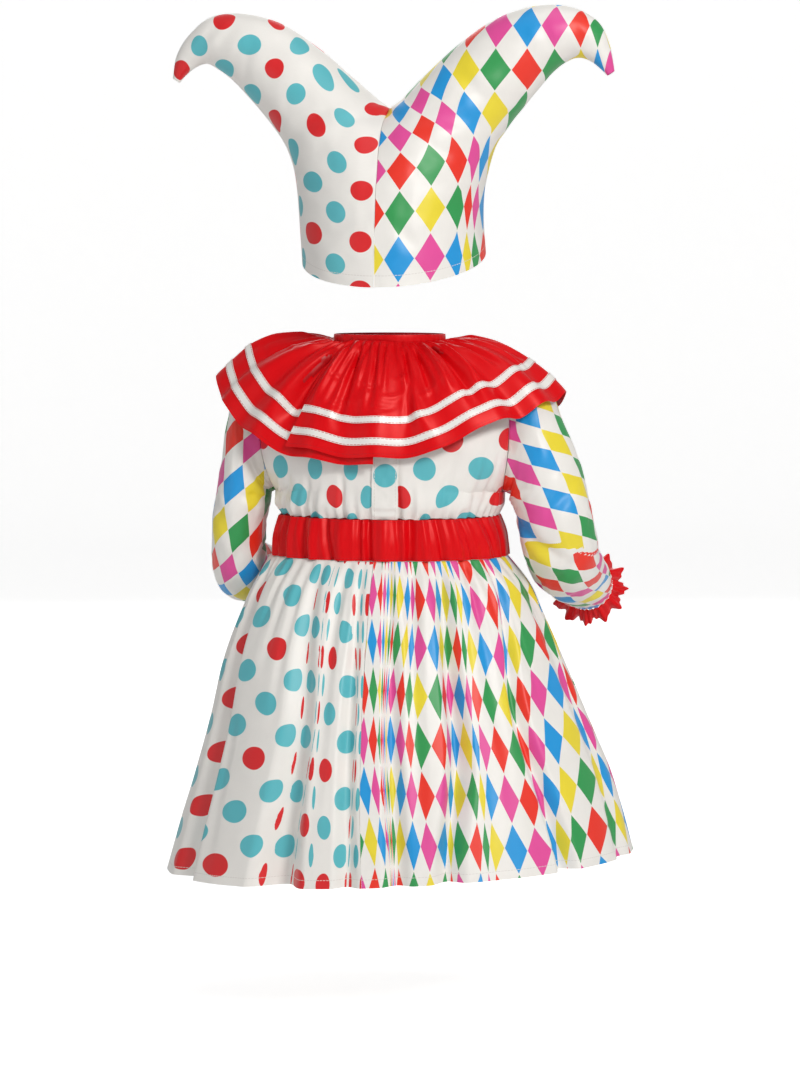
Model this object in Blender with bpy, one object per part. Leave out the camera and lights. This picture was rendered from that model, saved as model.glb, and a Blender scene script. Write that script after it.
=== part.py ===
"""Harlequin costume in toddler size: a two-horned hat, and a dress with a gathered collar.

Every piece of cloth is a thin closed wall, worked out from the sizes and tables below.
+Z is up, the garment's front faces -Y, and its left side is at +X.
The origin is at the middle of the neck, where the dress is held up.
The tables are in millimetres and degrees. Angles around the garment start at the centre back
and grow towards its left side.
"""

import bpy
import numpy as np

# Cloth
MM = 0.001
CLOTH = 1.3
RIBBON = 1.0
SEAM_GAP = 0.3
HALF_GAP = SEAM_GAP / 2

# Neck and shoulders
NECK_HALF_WIDTH = 47.5
NECK_HALF_DEPTH = 42.5
BODY_Y = 2.0
NECK_Z = -7.0
NECKBAND_HEIGHT = 8.0
NECKBAND_START = 4.0
NECKBAND_END = 393.0
NECKBAND_TUCK = 2.2
NECKBAND_TUCK_RUN = 18.0
NECKBAND_COLUMNS = 40
SHOULDER_X = 97.0
SHOULDER_Z = -22.0

# Armholes
ARMPIT_Z = -131.5
ARMHOLE_HALF_DEPTH = 32.0
ARMHOLE_BOW = 9.0

# Bodice
BODICE_MIDDLE = (0.0, 0.0, -70.0)
BODICE_FRONT_COLUMNS = 15
BODICE_BACK_COLUMNS = 8
TOP_START = 0.45

# Waist
WAIST_TOP_Z = -152.0
WAIST_BOTTOM_Z = -186.0
WAIST_GATHERS = 26
WAIST_GATHER_DEPTH = 1.7
WAIST_GATHER_DRIFT = 1.1
WAIST_PUFF = 1.2
WAIST_COLUMNS = 45

# Collar
COLLAR_HALF_WIDTH = 149.0
COLLAR_BACK_DEPTH = 86.0
COLLAR_FRONT_DEPTH = 84.0
COLLAR_WAVES = 16
COLLAR_WAVE_DEPTH = 3.2
COLLAR_WAVE_DRIFT = 0.8
COLLAR_ROOT_LIFT = 2.0
COLLAR_PUFF_UP = 4.0
COLLAR_PUFF_UP_SIDES = 13.0
COLLAR_PUFF_OUT = 7.0
COLLAR_PUFF_POWER = 0.8
COLLAR_LEAN_SIDEWAYS = 0.4
COLLAR_LEAN_BACKWARDS = 0.93
COLLAR_LEAN_UP = 0.37
COLLAR_LEAN_UP_SIDES = 0.55
COLLAR_FOLD_RUN = 1.6
COLLAR_FLAP_START = 342.0
COLLAR_FLAP_RUN = 22.0
COLLAR_FLAP_END = 391.0
COLLAR_FLAP_LIFT = 3.6
COLLAR_COLUMNS = 67
COLLAR_MIDDLE = (0.0, 0.0, -140.0)
COLLAR_ROWS = (0.0, 0.16, 0.40, 0.682, 0.738, 0.854, 0.910, 1.0)
UPPER_RIBBON_ROWS = (3, 4)
LOWER_RIBBON_ROWS = (5, 6)

# Cuffs
CUFF_LENGTH = 13.0
CUFF_FLARE = 8.0
CUFF_WAVES = 12
CUFF_WAVE_DEPTH = 2.8
CUFF_COLUMNS = CUFF_WAVES * 4
CUFF_ROWS = (0.0, 0.45, 1.0)

# Placket on the centre-back opening
PLACKET_LEFT_X = 3.0
PLACKET_RIGHT_X = -19.0
PLACKET_MIDDLE_HEIGHT = 0.3
PLACKET_TOP_HEIGHT = 0.96

# Hem
HEM_SLOPE = 0.05

# Colours
RED = (0.75, 0.01, 0.02)
TEAL = (0.18, 0.55, 0.60)
CREAM = (0.85, 0.82, 0.76)


def table(columns, *rows):
    """The rows of a short table, as one array for each named column."""
    values = np.array(rows, float)
    return {name: values[:, k] for k, name in enumerate(columns.split())}


def read(data, column, at):
    """A smooth curve through one column, read at places along the table's first column."""
    stations = next(iter(data.values()))
    values = data[column]
    slopes = np.gradient(values, stations)
    at = np.clip(at, stations[0], stations[-1])
    k = np.clip(np.searchsorted(stations, at, side="right") - 1, 0, len(stations) - 2)
    span = stations[k + 1] - stations[k]
    f = (at - stations[k]) / span
    rise = values[k + 1] - values[k]
    start = slopes[k] * span
    end = slopes[k + 1] * span
    return values[k] + start * f + (3 * rise - 2 * start - end) * f**2 + (start + end - 2 * rise) * f**3


def ease(x):
    """0 before 0, 1 after 1, and smooth between."""
    x = np.clip(x, 0.0, 1.0)
    return x * x * (3 - 2 * x)


def bell(distance, half_width):
    """A smooth bump: 1 in its middle, 0 from half_width outwards."""
    return 0.5 + 0.5 * np.cos(np.pi * np.clip(distance / half_width, -1.0, 1.0))


def turn_between(angle, other):
    """The signed angle from other to angle, from -180 to 180."""
    return (angle - other + 180.0) % 360.0 - 180.0


def points(x, y, z):
    return np.stack(np.broadcast_arrays(x, y, z), axis=-1)


def normals(surface, u, v, inside=None):
    """Unit normals of surface(u, v), turned to point away from inside where it is given."""
    step = 1e-3
    along = surface(u + step, v) - surface(u - step, v)
    across = surface(u, v + step) - surface(u, v - step)
    found = np.cross(along, across)
    found /= np.linalg.norm(found, axis=-1, keepdims=True)
    if inside is not None:
        found *= np.sign(((surface(u, v) - inside) * found).sum(axis=-1, keepdims=True))
    return found


def grid_faces(index):
    """Two triangles for each cell of a grid of point numbers."""
    a, b = index[:-1, :-1].ravel(), index[:-1, 1:].ravel()
    d, c = index[1:, :-1].ravel(), index[1:, 1:].ravel()
    return np.concatenate([np.stack([a, b, c], 1), np.stack([a, c, d], 1)])


def cloth_material(name, colour):
    material = bpy.data.materials.new(name + "_cloth")
    material.use_nodes = True
    shader = material.node_tree.nodes["Principled BSDF"]
    shader.inputs["Base Color"].default_value = (*colour, 1.0)
    shader.inputs["Roughness"].default_value = 0.42
    shader.inputs["Metallic"].default_value = 0.0
    return material


def add_wall(name, outer, inner, colour, around=False):
    """A closed solid between two grids of points, rows by columns. around joins the last column to the first."""
    rows, columns = outer.shape[:2]
    front = np.arange(rows * columns).reshape(rows, columns)
    if around:
        front = np.hstack([front, front[:, :1]])
    back = front + rows * columns
    sheets = [grid_faces(front), grid_faces(back)[:, ::-1]]
    sheets.append(grid_faces(np.stack([back[0], front[0]])))
    sheets.append(grid_faces(np.stack([front[-1], back[-1]])))
    if not around:
        sheets.append(grid_faces(np.stack([front[:, 0], back[:, 0]])))
        sheets.append(grid_faces(np.stack([back[:, -1], front[:, -1]])))
    faces = np.concatenate(sheets)
    verts = np.concatenate([outer.reshape(-1, 3), inner.reshape(-1, 3)]) * MM
    if np.linalg.det(verts[faces]).sum() < 0:
        faces = faces[:, ::-1]
    mesh = bpy.data.meshes.new(name)
    mesh.from_pydata(verts.tolist(), [], faces.tolist())
    mesh.validate()
    mesh.shade_smooth()
    mesh.set_sharp_from_angle(angle=np.radians(50))
    mesh.materials.append(cloth_material(name, colour))
    piece = bpy.data.objects.new(name, mesh)
    bpy.context.scene.collection.objects.link(piece)
    return piece


# Bodice

BODICE_SECTIONS = table(
    "height z_middle half_width back front",
    (0.00, -151.7, 93.0, 73.0, -73.0),
    (0.11, -141.0, 97.5, 76.0, -76.0),
    (0.22, -128.0, 98.0, 76.0, -76.0),
    (0.54, -80.0, 106.0, 70.0, -70.0),
    (0.78, -40.0, 104.0, 60.0, -62.0),
    (1.00, -7.0, 97.0, 45.0, -41.0),
)
ARMPIT_HEIGHT = 0.22
BODICE_ROWS = (0.0, 0.11, 0.22, 0.38, 0.54, 0.70, 0.86, 1.0)
SHOULDER_START = 0.5


def armhole(side, angle):
    """The armhole's edge: angle 0 at the shoulder, 90 at the back, 180 at the armpit."""
    around = np.radians(angle)
    middle = (SHOULDER_Z + ARMPIT_Z) / 2
    reach = (SHOULDER_Z - ARMPIT_Z) / 2
    x = SHOULDER_X + ARMHOLE_BOW * np.sin(around) ** 2
    return points(side * x, BODY_Y + ARMHOLE_HALF_DEPTH * np.sin(around), middle + reach * np.cos(around))


def bodice_body(face, side, across, height):
    """The bodice below its neckline: across is 0 at the centre line and 1 at the side or armhole."""
    up_armhole = np.clip((height - ARMPIT_HEIGHT) / (1 - ARMPIT_HEIGHT), 0, 1)
    edge = armhole(side, face * 180 * (1 - up_armhole))
    below = height < ARMPIT_HEIGHT
    edge_x = np.where(below, side * read(BODICE_SECTIONS, "half_width", height), edge[..., 0])
    edge_z = np.where(below, read(BODICE_SECTIONS, "z_middle", height), edge[..., 2])
    sink = ARMPIT_Z - read(BODICE_SECTIONS, "z_middle", np.array(ARMPIT_HEIGHT))
    edge_z = np.where(below, edge_z + sink * height / ARMPIT_HEIGHT, edge_z)
    middle_y = read(BODICE_SECTIONS, "back" if face > 0 else "front", height)
    middle_z = read(BODICE_SECTIONS, "z_middle", height)
    turn = across * np.pi / 2
    x = edge_x * np.sin(turn)
    y = edge[..., 1] + (middle_y - edge[..., 1]) * np.cos(turn)
    return points(x, y, middle_z + (edge_z - middle_z) * np.sin(turn) ** 2)


def bodice_top(face, side, across):
    """The neckline, and then the shoulder seam."""
    turn = np.clip(across / SHOULDER_START, 0, 1) * np.pi / 2
    along = np.clip((across - SHOULDER_START) / (1 - SHOULDER_START), 0, 1)
    x = NECK_HALF_WIDTH * np.sin(turn) + (SHOULDER_X - NECK_HALF_WIDTH) * along
    y = BODY_Y + face * NECK_HALF_DEPTH * np.cos(turn)
    z = NECK_Z - HALF_GAP + (SHOULDER_Z - NECK_Z + HALF_GAP) * along
    return points(side * x, y, z)


def bodice(face, side, across, height):
    body = bodice_body(face, side, across, height)
    top = bodice_top(face, side, across) - bodice_body(face, side, across, np.ones_like(height))
    return body + ease((height - TOP_START) / (1 - TOP_START))[..., None] * top


def signed_bodice(face, across, height):
    """The whole face of the bodice: across runs from -1 at the right edge to 1 at the left edge."""
    left = bodice(face, 1, np.abs(across), height)
    right = bodice(face, -1, np.abs(across), height)
    return np.where((across >= 0)[..., None], left, right)


def bodice_wall(face, first, last, columns):
    across = np.linspace(first, last, columns)
    height, across = np.meshgrid(BODICE_ROWS, across, indexing="ij")
    surface = lambda u, v: signed_bodice(face, u, v)
    outer = surface(across, height) + points(0.0, face * HALF_GAP, 0.0)
    inner = outer - CLOTH * normals(surface, across, height, BODICE_MIDDLE)
    inner[0, :, 2] = outer[0, :, 2]
    keep_to = np.maximum if face > 0 else np.minimum
    inner[..., 1] = keep_to(inner[..., 1], BODY_Y + face * HALF_GAP)
    return outer, inner


def add_bodice():
    add_wall("bodice_front", *bodice_wall(-1, -1.0, 1.0, BODICE_FRONT_COLUMNS), CREAM)
    for name, side, first, last in (
        ("bodice_back_left", 1, 0.0, 1.0),
        ("bodice_back_right", -1, -1.0, 0.0),
    ):
        outer, inner = bodice_wall(1, first, last, BODICE_BACK_COLUMNS)
        keep_to = np.maximum if side > 0 else np.minimum
        for wall in (outer, inner):
            wall[..., 0] = keep_to(wall[..., 0], side * HALF_GAP)
        add_wall(name, outer, inner, CREAM)


def add_placket():
    """The strip over the centre-back opening, made from the bodice's own points and moved out."""
    reach = read(BODICE_SECTIONS, "half_width", np.array(PLACKET_MIDDLE_HEIGHT))
    left = np.arcsin(PLACKET_LEFT_X / reach) / (np.pi / 2)
    right = np.arcsin(PLACKET_RIGHT_X / reach) / (np.pi / 2)
    height, across = np.meshgrid(BODICE_ROWS[:-1] + (PLACKET_TOP_HEIGHT,), (right, 0.0, left), indexing="ij")
    surface = lambda u, v: signed_bodice(1, u, v)
    away = normals(surface, across, height, BODICE_MIDDLE)
    under = surface(across, height) + (SEAM_GAP + HALF_GAP) * away
    under[0, :, 2] = BODICE_SECTIONS["z_middle"][0]
    over = under + CLOTH * away
    over[0, :, 2] = under[0, :, 2]
    add_wall("back_placket", over, under, CREAM)


# Sleeves and cuffs

SLEEVE_LEFT = table(
    "t x y z roll bend side depth bow",
    (0, 97.0, 2.0, -76.8, 90, 0, 54.7, 32, 9),
    (1, 114.0, 3.0, -85.0, 72, 0, 50.0, 35, 5),
    (2, 120.0, 4.0, -103.0, 60, 0, 36.0, 37, 2),
    (3, 123.5, 5.0, -124.0, 42, 0, 27.0, 38, 0),
    (4, 127.0, 5.0, -144.0, 20, 0, 23.5, 38, 0),
    (5, 130.0, 3.0, -163.0, 6, 10, 22.5, 37, 0),
    (6, 132.0, -3.0, -181.0, 4, 35, 22.5, 34, 0),
    (7, 134.0, -15.0, -194.0, 2, 62, 23.0, 31, 0),
    (8, 134.0, -34.0, -202.0, 0, 76, 23.5, 29, 0),
    (9, 129.0, -57.0, -207.0, 0, 79, 23.5, 27, 0),
    (10, 122.0, -79.0, -212.0, 0, 77, 23.0, 25, 0),
    (11, 115.0, -97.0, -216.5, 0, 76, 22.5, 23, 0),
)
SLEEVE_RIGHT = table(
    "t x y z roll bend side depth bow",
    (0, 97.0, 2.0, -76.8, 90, 0, 54.7, 32, 9),
    (1, 115.0, 3.0, -85.0, 71, 0, 50.0, 35, 5),
    (2, 125.0, 4.0, -103.0, 56, 0, 39.0, 36, 2),
    (3, 132.5, 5.0, -121.5, 36, 0, 34.5, 36, 0),
    (4, 138.0, 6.0, -138.0, 20, 0, 32.0, 35, 0),
    (5, 142.0, 6.0, -156.0, 8, 8, 32.0, 35, 0),
    (6, 144.5, 1.0, -174.0, 4, 34, 32.0, 34, 0),
    (7, 147.0, -12.0, -189.0, 2, 60, 30.0, 32, 0),
    (8, 150.0, -32.0, -198.0, 0, 72, 28.0, 30, 0),
    (9, 153.0, -56.0, -206.0, 0, 74, 26.0, 27, 0),
    (10, 155.5, -78.0, -213.0, 0, 73, 24.5, 25, 0),
    (11, 157.5, -96.0, -218.5, 0, 72, 23.0, 23, 0),
)
SLEEVE_COLUMNS = 16


def arm_frame(rows, side, t):
    """The sleeve's middle, and its directions outwards, backwards and on towards the hand."""
    roll, bend = np.radians(read(rows, "roll", t)), np.radians(read(rows, "bend", t))
    middle = points(side * read(rows, "x", t), read(rows, "y", t), read(rows, "z", t))
    nought = np.zeros_like(roll)
    outwards = points(side * np.cos(roll), nought, np.sin(roll))
    down = points(side * np.sin(roll), nought, -np.cos(roll))
    back = points(nought, nought + 1.0, nought)
    on = np.cos(bend)[..., None] * down - np.sin(bend)[..., None] * back
    behind = np.cos(bend)[..., None] * back + np.sin(bend)[..., None] * down
    return middle, outwards, behind, on


def sleeve(rows, side, angle, t):
    """A ring of the sleeve: angle 0 is its outer side, 90 its back."""
    middle, outwards, behind, _ = arm_frame(rows, side, t)
    around = np.radians(angle)
    ring = middle + (read(rows, "side", t) * np.cos(around))[..., None] * outwards
    ring = ring + (read(rows, "depth", t) * np.sin(around))[..., None] * behind
    bow = side * read(rows, "bow", t) * np.sin(around) ** 2
    return ring + points(bow, 0.0, 0.0)


def add_sleeve(name, rows, side):
    angle = np.arange(SLEEVE_COLUMNS) * 360.0 / SLEEVE_COLUMNS
    t, angle = np.meshgrid(rows["t"], angle, indexing="ij")
    surface = lambda u, v: sleeve(rows, side, u, v)
    middle = arm_frame(rows, side, t)[0]
    outer = surface(angle, t)
    inner = outer - CLOTH * normals(surface, angle, t, middle)
    clear = side * (SEAM_GAP + HALF_GAP)
    outer[0, :, 0] += clear
    inner[0, :, 0] = outer[0, :, 0]
    add_wall(name, outer, inner, CREAM, around=True)


def cuff(rows, side, angle, v):
    """The gathered strip on the wrist: it widens and waves towards its free edge."""
    last = rows["t"][-1]
    middle, outwards, behind, on = arm_frame(rows, side, np.full(angle.shape, last))
    around = np.radians(angle)
    grow = CUFF_FLARE * v + CUFF_WAVE_DEPTH * v * np.cos(CUFF_WAVES * around)
    across = (read(rows, "side", last) + grow) * np.cos(around)
    through = (read(rows, "depth", last) + grow) * np.sin(around)
    ring = middle + across[..., None] * outwards + through[..., None] * behind
    return ring + (SEAM_GAP + CUFF_LENGTH * v)[..., None] * on


def add_cuff(name, rows, side):
    angle = np.arange(CUFF_COLUMNS) * 360.0 / CUFF_COLUMNS
    v, angle = np.meshgrid(CUFF_ROWS, angle, indexing="ij")
    surface = lambda u, w: cuff(rows, side, u, w)
    middle, _, _, on = arm_frame(rows, side, np.full(angle.shape, rows["t"][-1]))
    outer = surface(angle, v)
    away = normals(surface, angle, v, middle)
    away[0] -= (away[0] * on[0]).sum(axis=-1, keepdims=True) * on[0]
    inner = outer - CLOTH * away
    add_wall(name, outer, inner, RED, around=True)


# Waistband

WAIST_SECTIONS = table(
    "z half_width half_depth",
    (-186.0, 101.0, 79.0),
    (-169.0, 98.0, 77.0),
    (-152.0, 94.0, 74.0),
)


def waistband(angle, z):
    around = np.radians(angle)
    gather = np.cos(WAIST_GATHERS * around + WAIST_GATHER_DRIFT * np.sin(3 * around))
    up = (z - WAIST_BOTTOM_Z) / (WAIST_TOP_Z - WAIST_BOTTOM_Z)
    puff = WAIST_GATHER_DEPTH * gather + WAIST_PUFF * np.sin(np.pi * up)
    x = (read(WAIST_SECTIONS, "half_width", z) + puff) * np.sin(around)
    y = (read(WAIST_SECTIONS, "half_depth", z) + puff) * np.cos(around)
    return points(x, BODY_Y + y, z)


def add_waistband():
    for name, middle in (("waistband_back", 0.0), ("waistband_front", 180.0)):
        angle = middle + np.linspace(-90.0, 90.0, WAIST_COLUMNS)
        z, angle = np.meshgrid(WAIST_SECTIONS["z"], angle, indexing="ij")
        outer = waistband(angle, z)
        inner = outer - CLOTH * normals(waistband, angle, z, points(0.0, 0.0, z))
        face = 1 if middle == 0 else -1
        keep_to = np.maximum if face > 0 else np.minimum
        for wall in (outer, inner):
            wall[..., 1] = keep_to(wall[..., 1], BODY_Y + face * HALF_GAP)
        for row in (0, -1):
            inner[row, :, 2] = outer[row, :, 2]
        add_wall(name, outer, inner, RED)


# Collar

COLLAR_EDGE = table(
    "angle z",
    (-10, -107),
    (0, -106),
    (20, -102),
    (37, -93),
    (50, -79),
    (63, -62),
    (90, -38),
    (117, -60),
    (140, -80),
    (160, -91),
    (180, -95),
    (200, -91),
    (220, -80),
    (243, -64),
    (270, -50),
    (297, -58),
    (310, -65),
    (323, -75),
    (340, -94),
    (360, -101),
    (392, -91),
)
COLLAR_FOLDS = table(
    "angle half_width rise",
    (328, 10, 6.5),
    (306, 8, -3.0),
    (46, 11, 4.0),
    (74, 9, -3.0),
    (205, 12, 5.0),
    (150, 11, 4.0),
    (250, 9, -3.0),
)


def collar(angle, v):
    """The ruffle: v is 0 at the neckband and 1 at the free edge. It puffs up from the band, then hangs."""
    around = np.radians(angle)
    sideways, backwards = np.sin(around), np.cos(around)
    root_x = (NECK_HALF_WIDTH + CLOTH + SEAM_GAP) * sideways
    root_y = BODY_Y + (NECK_HALF_DEPTH + CLOTH + SEAM_GAP) * backwards
    root_z = NECK_Z + COLLAR_ROOT_LIFT
    reach_y = np.where(backwards > 0, COLLAR_BACK_DEPTH, COLLAR_FRONT_DEPTH)
    puff = np.sin(np.pi * np.clip(v, 0, 1)) ** COLLAR_PUFF_POWER
    puff_up = (COLLAR_PUFF_UP + COLLAR_PUFF_UP_SIDES * sideways**2) * puff
    puff_out = COLLAR_PUFF_OUT * backwards * puff
    x = root_x + (COLLAR_HALF_WIDTH * sideways - root_x) * v
    y = root_y + (reach_y * backwards - root_y) * v + puff_out
    z = root_z + (read(COLLAR_EDGE, "z", angle) - root_z) * v + puff_up
    wave = np.cos(COLLAR_WAVES * around + COLLAR_WAVE_DRIFT * np.sin(2 * around))
    lift = COLLAR_WAVE_DEPTH * v * wave
    for at, half_width, rise in zip(*COLLAR_FOLDS.values()):
        lift = lift + rise * ease(COLLAR_FOLD_RUN * v) * bell(turn_between(angle, at), half_width)
    lift = lift + COLLAR_FLAP_LIFT * ease((angle - COLLAR_FLAP_START) / COLLAR_FLAP_RUN)
    away_z = COLLAR_LEAN_UP + COLLAR_LEAN_UP_SIDES * sideways**2
    away = points(COLLAR_LEAN_SIDEWAYS * sideways, COLLAR_LEAN_BACKWARDS * backwards, away_z)
    away = away / np.linalg.norm(away, axis=-1, keepdims=True)
    return points(x, y, z) + lift[..., None] * away


def collar_grid():
    angle = np.linspace(0.0, COLLAR_FLAP_END, COLLAR_COLUMNS)
    return np.meshgrid(COLLAR_ROWS, angle, indexing="ij")


def add_collar():
    v, angle = collar_grid()
    outer = collar(angle, v)
    away = normals(collar, angle, v, COLLAR_MIDDLE)
    add_wall("collar_ruffle", outer, outer - CLOTH * away, RED)
    for name, (first, last) in (
        ("collar_ribbon_upper", UPPER_RIBBON_ROWS),
        ("collar_ribbon_lower", LOWER_RIBBON_ROWS),
    ):
        rows = slice(first, last + 1)
        under = outer[rows] + SEAM_GAP * away[rows]
        add_wall(name, under + RIBBON * away[rows], under, CREAM)


def add_neckband():
    angle = np.linspace(NECKBAND_START, NECKBAND_END, NECKBAND_COLUMNS)
    z, angle = np.meshgrid((NECK_Z + HALF_GAP, NECK_Z + NECKBAND_HEIGHT), angle, indexing="ij")
    around = np.radians(angle)
    spread = -NECKBAND_TUCK * (1 - ease((angle - NECKBAND_END + 360.0) / NECKBAND_TUCK_RUN))
    outer = points(
        (NECK_HALF_WIDTH + spread) * np.sin(around),
        BODY_Y + (NECK_HALF_DEPTH + spread) * np.cos(around),
        z,
    )
    inner = points(
        (NECK_HALF_WIDTH + spread - CLOTH) * np.sin(around),
        BODY_Y + (NECK_HALF_DEPTH + spread - CLOTH) * np.cos(around),
        z,
    )
    add_wall("neckband", outer, inner, RED)


# Skirt

SKIRT_SECTIONS = table(
    "t z left right back front",
    (0.00, -186.3, 102.0, 101.0, 79.0, 79.0),
    (0.08, -207.0, 117.0, 118.0, 93.0, 90.0),
    (0.18, -234.0, 129.0, 131.0, 105.0, 100.0),
    (0.34, -275.0, 143.0, 149.0, 121.0, 114.0),
    (0.51, -320.0, 153.0, 168.0, 137.0, 128.0),
    (0.68, -366.0, 166.0, 186.0, 150.0, 140.0),
    (0.85, -410.0, 180.0, 199.0, 161.0, 150.0),
    (1.00, -446.0, 191.0, 208.0, 168.0, 157.0),
)
SKIRT_FOLDS = table(
    "top middle hem width_top width_hem depth_top depth_middle depth_hem columns",
    (62, 60, 59, 7, 8, 5, 12, 14, 5),
    (26, 22, 22.5, 5, 9, 5, 12, 26, 5),
    (13.6, 13, 13, 3.5, 3, 5, 2, 0, 3),
    (5, 5, 3, 3, 4, 3, 8, 10, 3),
    (-7, -8, -9, 3, 4, 3, 9, 10, 3),
    (-16, -15, -14, 4, 3, 7, 2, 0, 3),
    (-29, -27, -21, 5, 4.5, 8, 17, 14, 5),
    (-43, -40, -38, 4, 3, 5, 1, 0, 3),
    (-58.5, -48.5, -53, 4, 4.5, 4, 11, 14, 5),
    (-82, -80, -79, 6, 6, 3, 5, 6, 3),
    (104, 103, 102, 6, 7, 3, 7, 10, 3),
    (126, 124, 123, 6, 8, 6, 12, 18, 5),
    (150, 148, 147, 5, 7, 5, 9, 13, 5),
    (168, 167, 166, 4, 5, 4, 6, 8, 3),
    (192, 193, 194, 4, 5, 4, 6, 8, 3),
    (211, 213, 214, 5, 8, 6, 11, 17, 5),
    (234, 236, 237, 6, 7, 5, 9, 12, 5),
    (256, 257, 258, 6, 7, 3, 7, 10, 3),
)
FOLDS_START = 0.1
EVEN_SHARE = 0.2
ARM_PRESS = {"angle": 104.0, "half_width": 42.0, "depth": 11.0, "reach": 0.42}
SEAM_ANGLES = table("t angle", (0.0, 0.5), (0.3, 0.8), (0.65, 0.3), (1.0, -1.0))
SKIRT_ROWS = (0.0, 0.05, 0.12, 0.21, 0.32, 0.44, 0.56, 0.68, 0.79, 0.90, 1.0)


def down_the_skirt(t, top, middle, hem):
    """A value that passes through its three named heights."""
    return np.where(t < 0.5, top + (middle - top) * ease(2 * t), middle + (hem - middle) * ease(2 * t - 1))


def skirt(angle, t):
    """The skirt's outer side: an uneven oval at each height, with its folds pushed in."""
    around = np.radians(angle)
    sideways, backwards = np.sin(around), np.cos(around)
    reach_x = np.where(sideways > 0, read(SKIRT_SECTIONS, "left", t), read(SKIRT_SECTIONS, "right", t))
    reach_y = np.where(backwards > 0, read(SKIRT_SECTIONS, "back", t), read(SKIRT_SECTIONS, "front", t))
    push = np.zeros(np.broadcast(angle, t).shape)
    for fold in zip(*SKIRT_FOLDS.values()):
        middle = down_the_skirt(t, *fold[:3])
        width = fold[3] + (fold[4] - fold[3]) * t
        depth = down_the_skirt(t, *fold[5:8]) * ease(t / FOLDS_START)
        push = push + depth * bell(turn_between(angle, middle), width)
    press = bell(turn_between(angle, ARM_PRESS["angle"]), ARM_PRESS["half_width"])
    press = press * ease(t / FOLDS_START) * (1 - ease(t / ARM_PRESS["reach"]))
    push = push + ARM_PRESS["depth"] * press
    away = points(sideways / reach_x, backwards / reach_y, 0.0 * reach_x)
    away = away / np.linalg.norm(away, axis=-1, keepdims=True)
    x = reach_x * sideways
    z = read(SKIRT_SECTIONS, "z", t) - HEM_SLOPE * x * t**2
    return points(x, BODY_Y + reach_y * backwards, z) - push[..., None] * away


def skirt_columns(first, last, t):
    """Angles of a panel's columns: both sides and the bottom of each fold, and the top of each ridge."""
    folds = []
    for fold in zip(*SKIRT_FOLDS.values()):
        middle = down_the_skirt(t, *fold[:3])
        width = fold[3] + (fold[4] - fold[3]) * t
        if (fold[0] - first[0]) % 360.0 < last[0] - first[0]:
            nearest = first + (middle - first) % 360.0
            folds.append((nearest, width, int(fold[8])))
    folds.sort(key=lambda found: found[0][0])
    columns = [first]
    for middle, width, count in folds:
        steps = [middle + width * place for place in np.linspace(-1.0, 1.0, count)]
        columns.append((columns[-1] + steps[0]) / 2)
        columns.extend(steps)
    columns.append((columns[-1] + last) / 2)
    columns.append(last)
    placed = np.sort(np.stack(columns, axis=1), axis=1)
    placed = np.clip(placed, first[:, None], last[:, None])
    even = np.linspace(0.0, 1.0, placed.shape[1])
    even = first[:, None] + (last - first)[:, None] * even
    return placed + EVEN_SHARE * (even - placed)


def add_skirt():
    t = np.array(SKIRT_ROWS)
    seam = read(SEAM_ANGLES, "angle", t)
    left, right = 90.0 + 0 * t, 270.0 + 0 * t
    front = 180.0 + 0 * t
    for name, first, last, colour in (
        ("skirt_back_left", seam, left, CREAM),
        ("skirt_front_left", left, front, CREAM),
        ("skirt_front_right", front, right, CREAM),
        ("skirt_back_right", right - 360.0, seam, CREAM),
    ):
        trim = np.degrees(HALF_GAP / read(SKIRT_SECTIONS, "back", t))
        angle = skirt_columns(first + trim, last - trim, t)
        heights = np.broadcast_to(t[:, None], angle.shape)
        outer = skirt(angle, heights)
        away = normals(skirt, angle, heights, points(0.0, 0.0, outer[..., 2]))
        inner = outer - CLOTH * away
        inner[0, :, 2] = outer[0, :, 2]
        add_wall(name, outer, inner, colour)


# Hat

HAT_LEFT = table(
    "t low_x low_z high_x high_z depth turn tilt",
    (0, 74, 66, 0, 66, 85, 90, 0.29),
    (1, 76, 97, 0, 96, 83, 92, 0.24),
    (2, 78, 122, 0, 124, 78, 97, 0.18),
    (3, 81, 141, 0, 148, 71, 106, 0.12),
    (4, 86, 155, 0, 167, 64, 122, 0.07),
    (5, 91, 164, 0, 180, 58, 142, 0.03),
    (6, 96, 171, 0, 190, 52, 180, 0.0),
    (7, 103, 180, 12, 200, 47, 180, 0.0),
    (8, 113, 192, 33, 218, 41, 180, 0.0),
    (9, 124, 204, 60, 241, 35, 180, 0.0),
    (10, 136, 216, 92, 262, 29, 180, 0.0),
    (11, 147, 224, 124, 271, 24, 180, 0.0),
    (12, 157, 229, 152, 269, 19, 180, 0.0),
    (13, 167, 226, 171, 255, 14, 180, 0.0),
    (14, 176, 219, 183, 237, 9, 180, 0.0),
    (15, 181, 213, 187, 217, 3.5, 180, 0.0),
)
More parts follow.
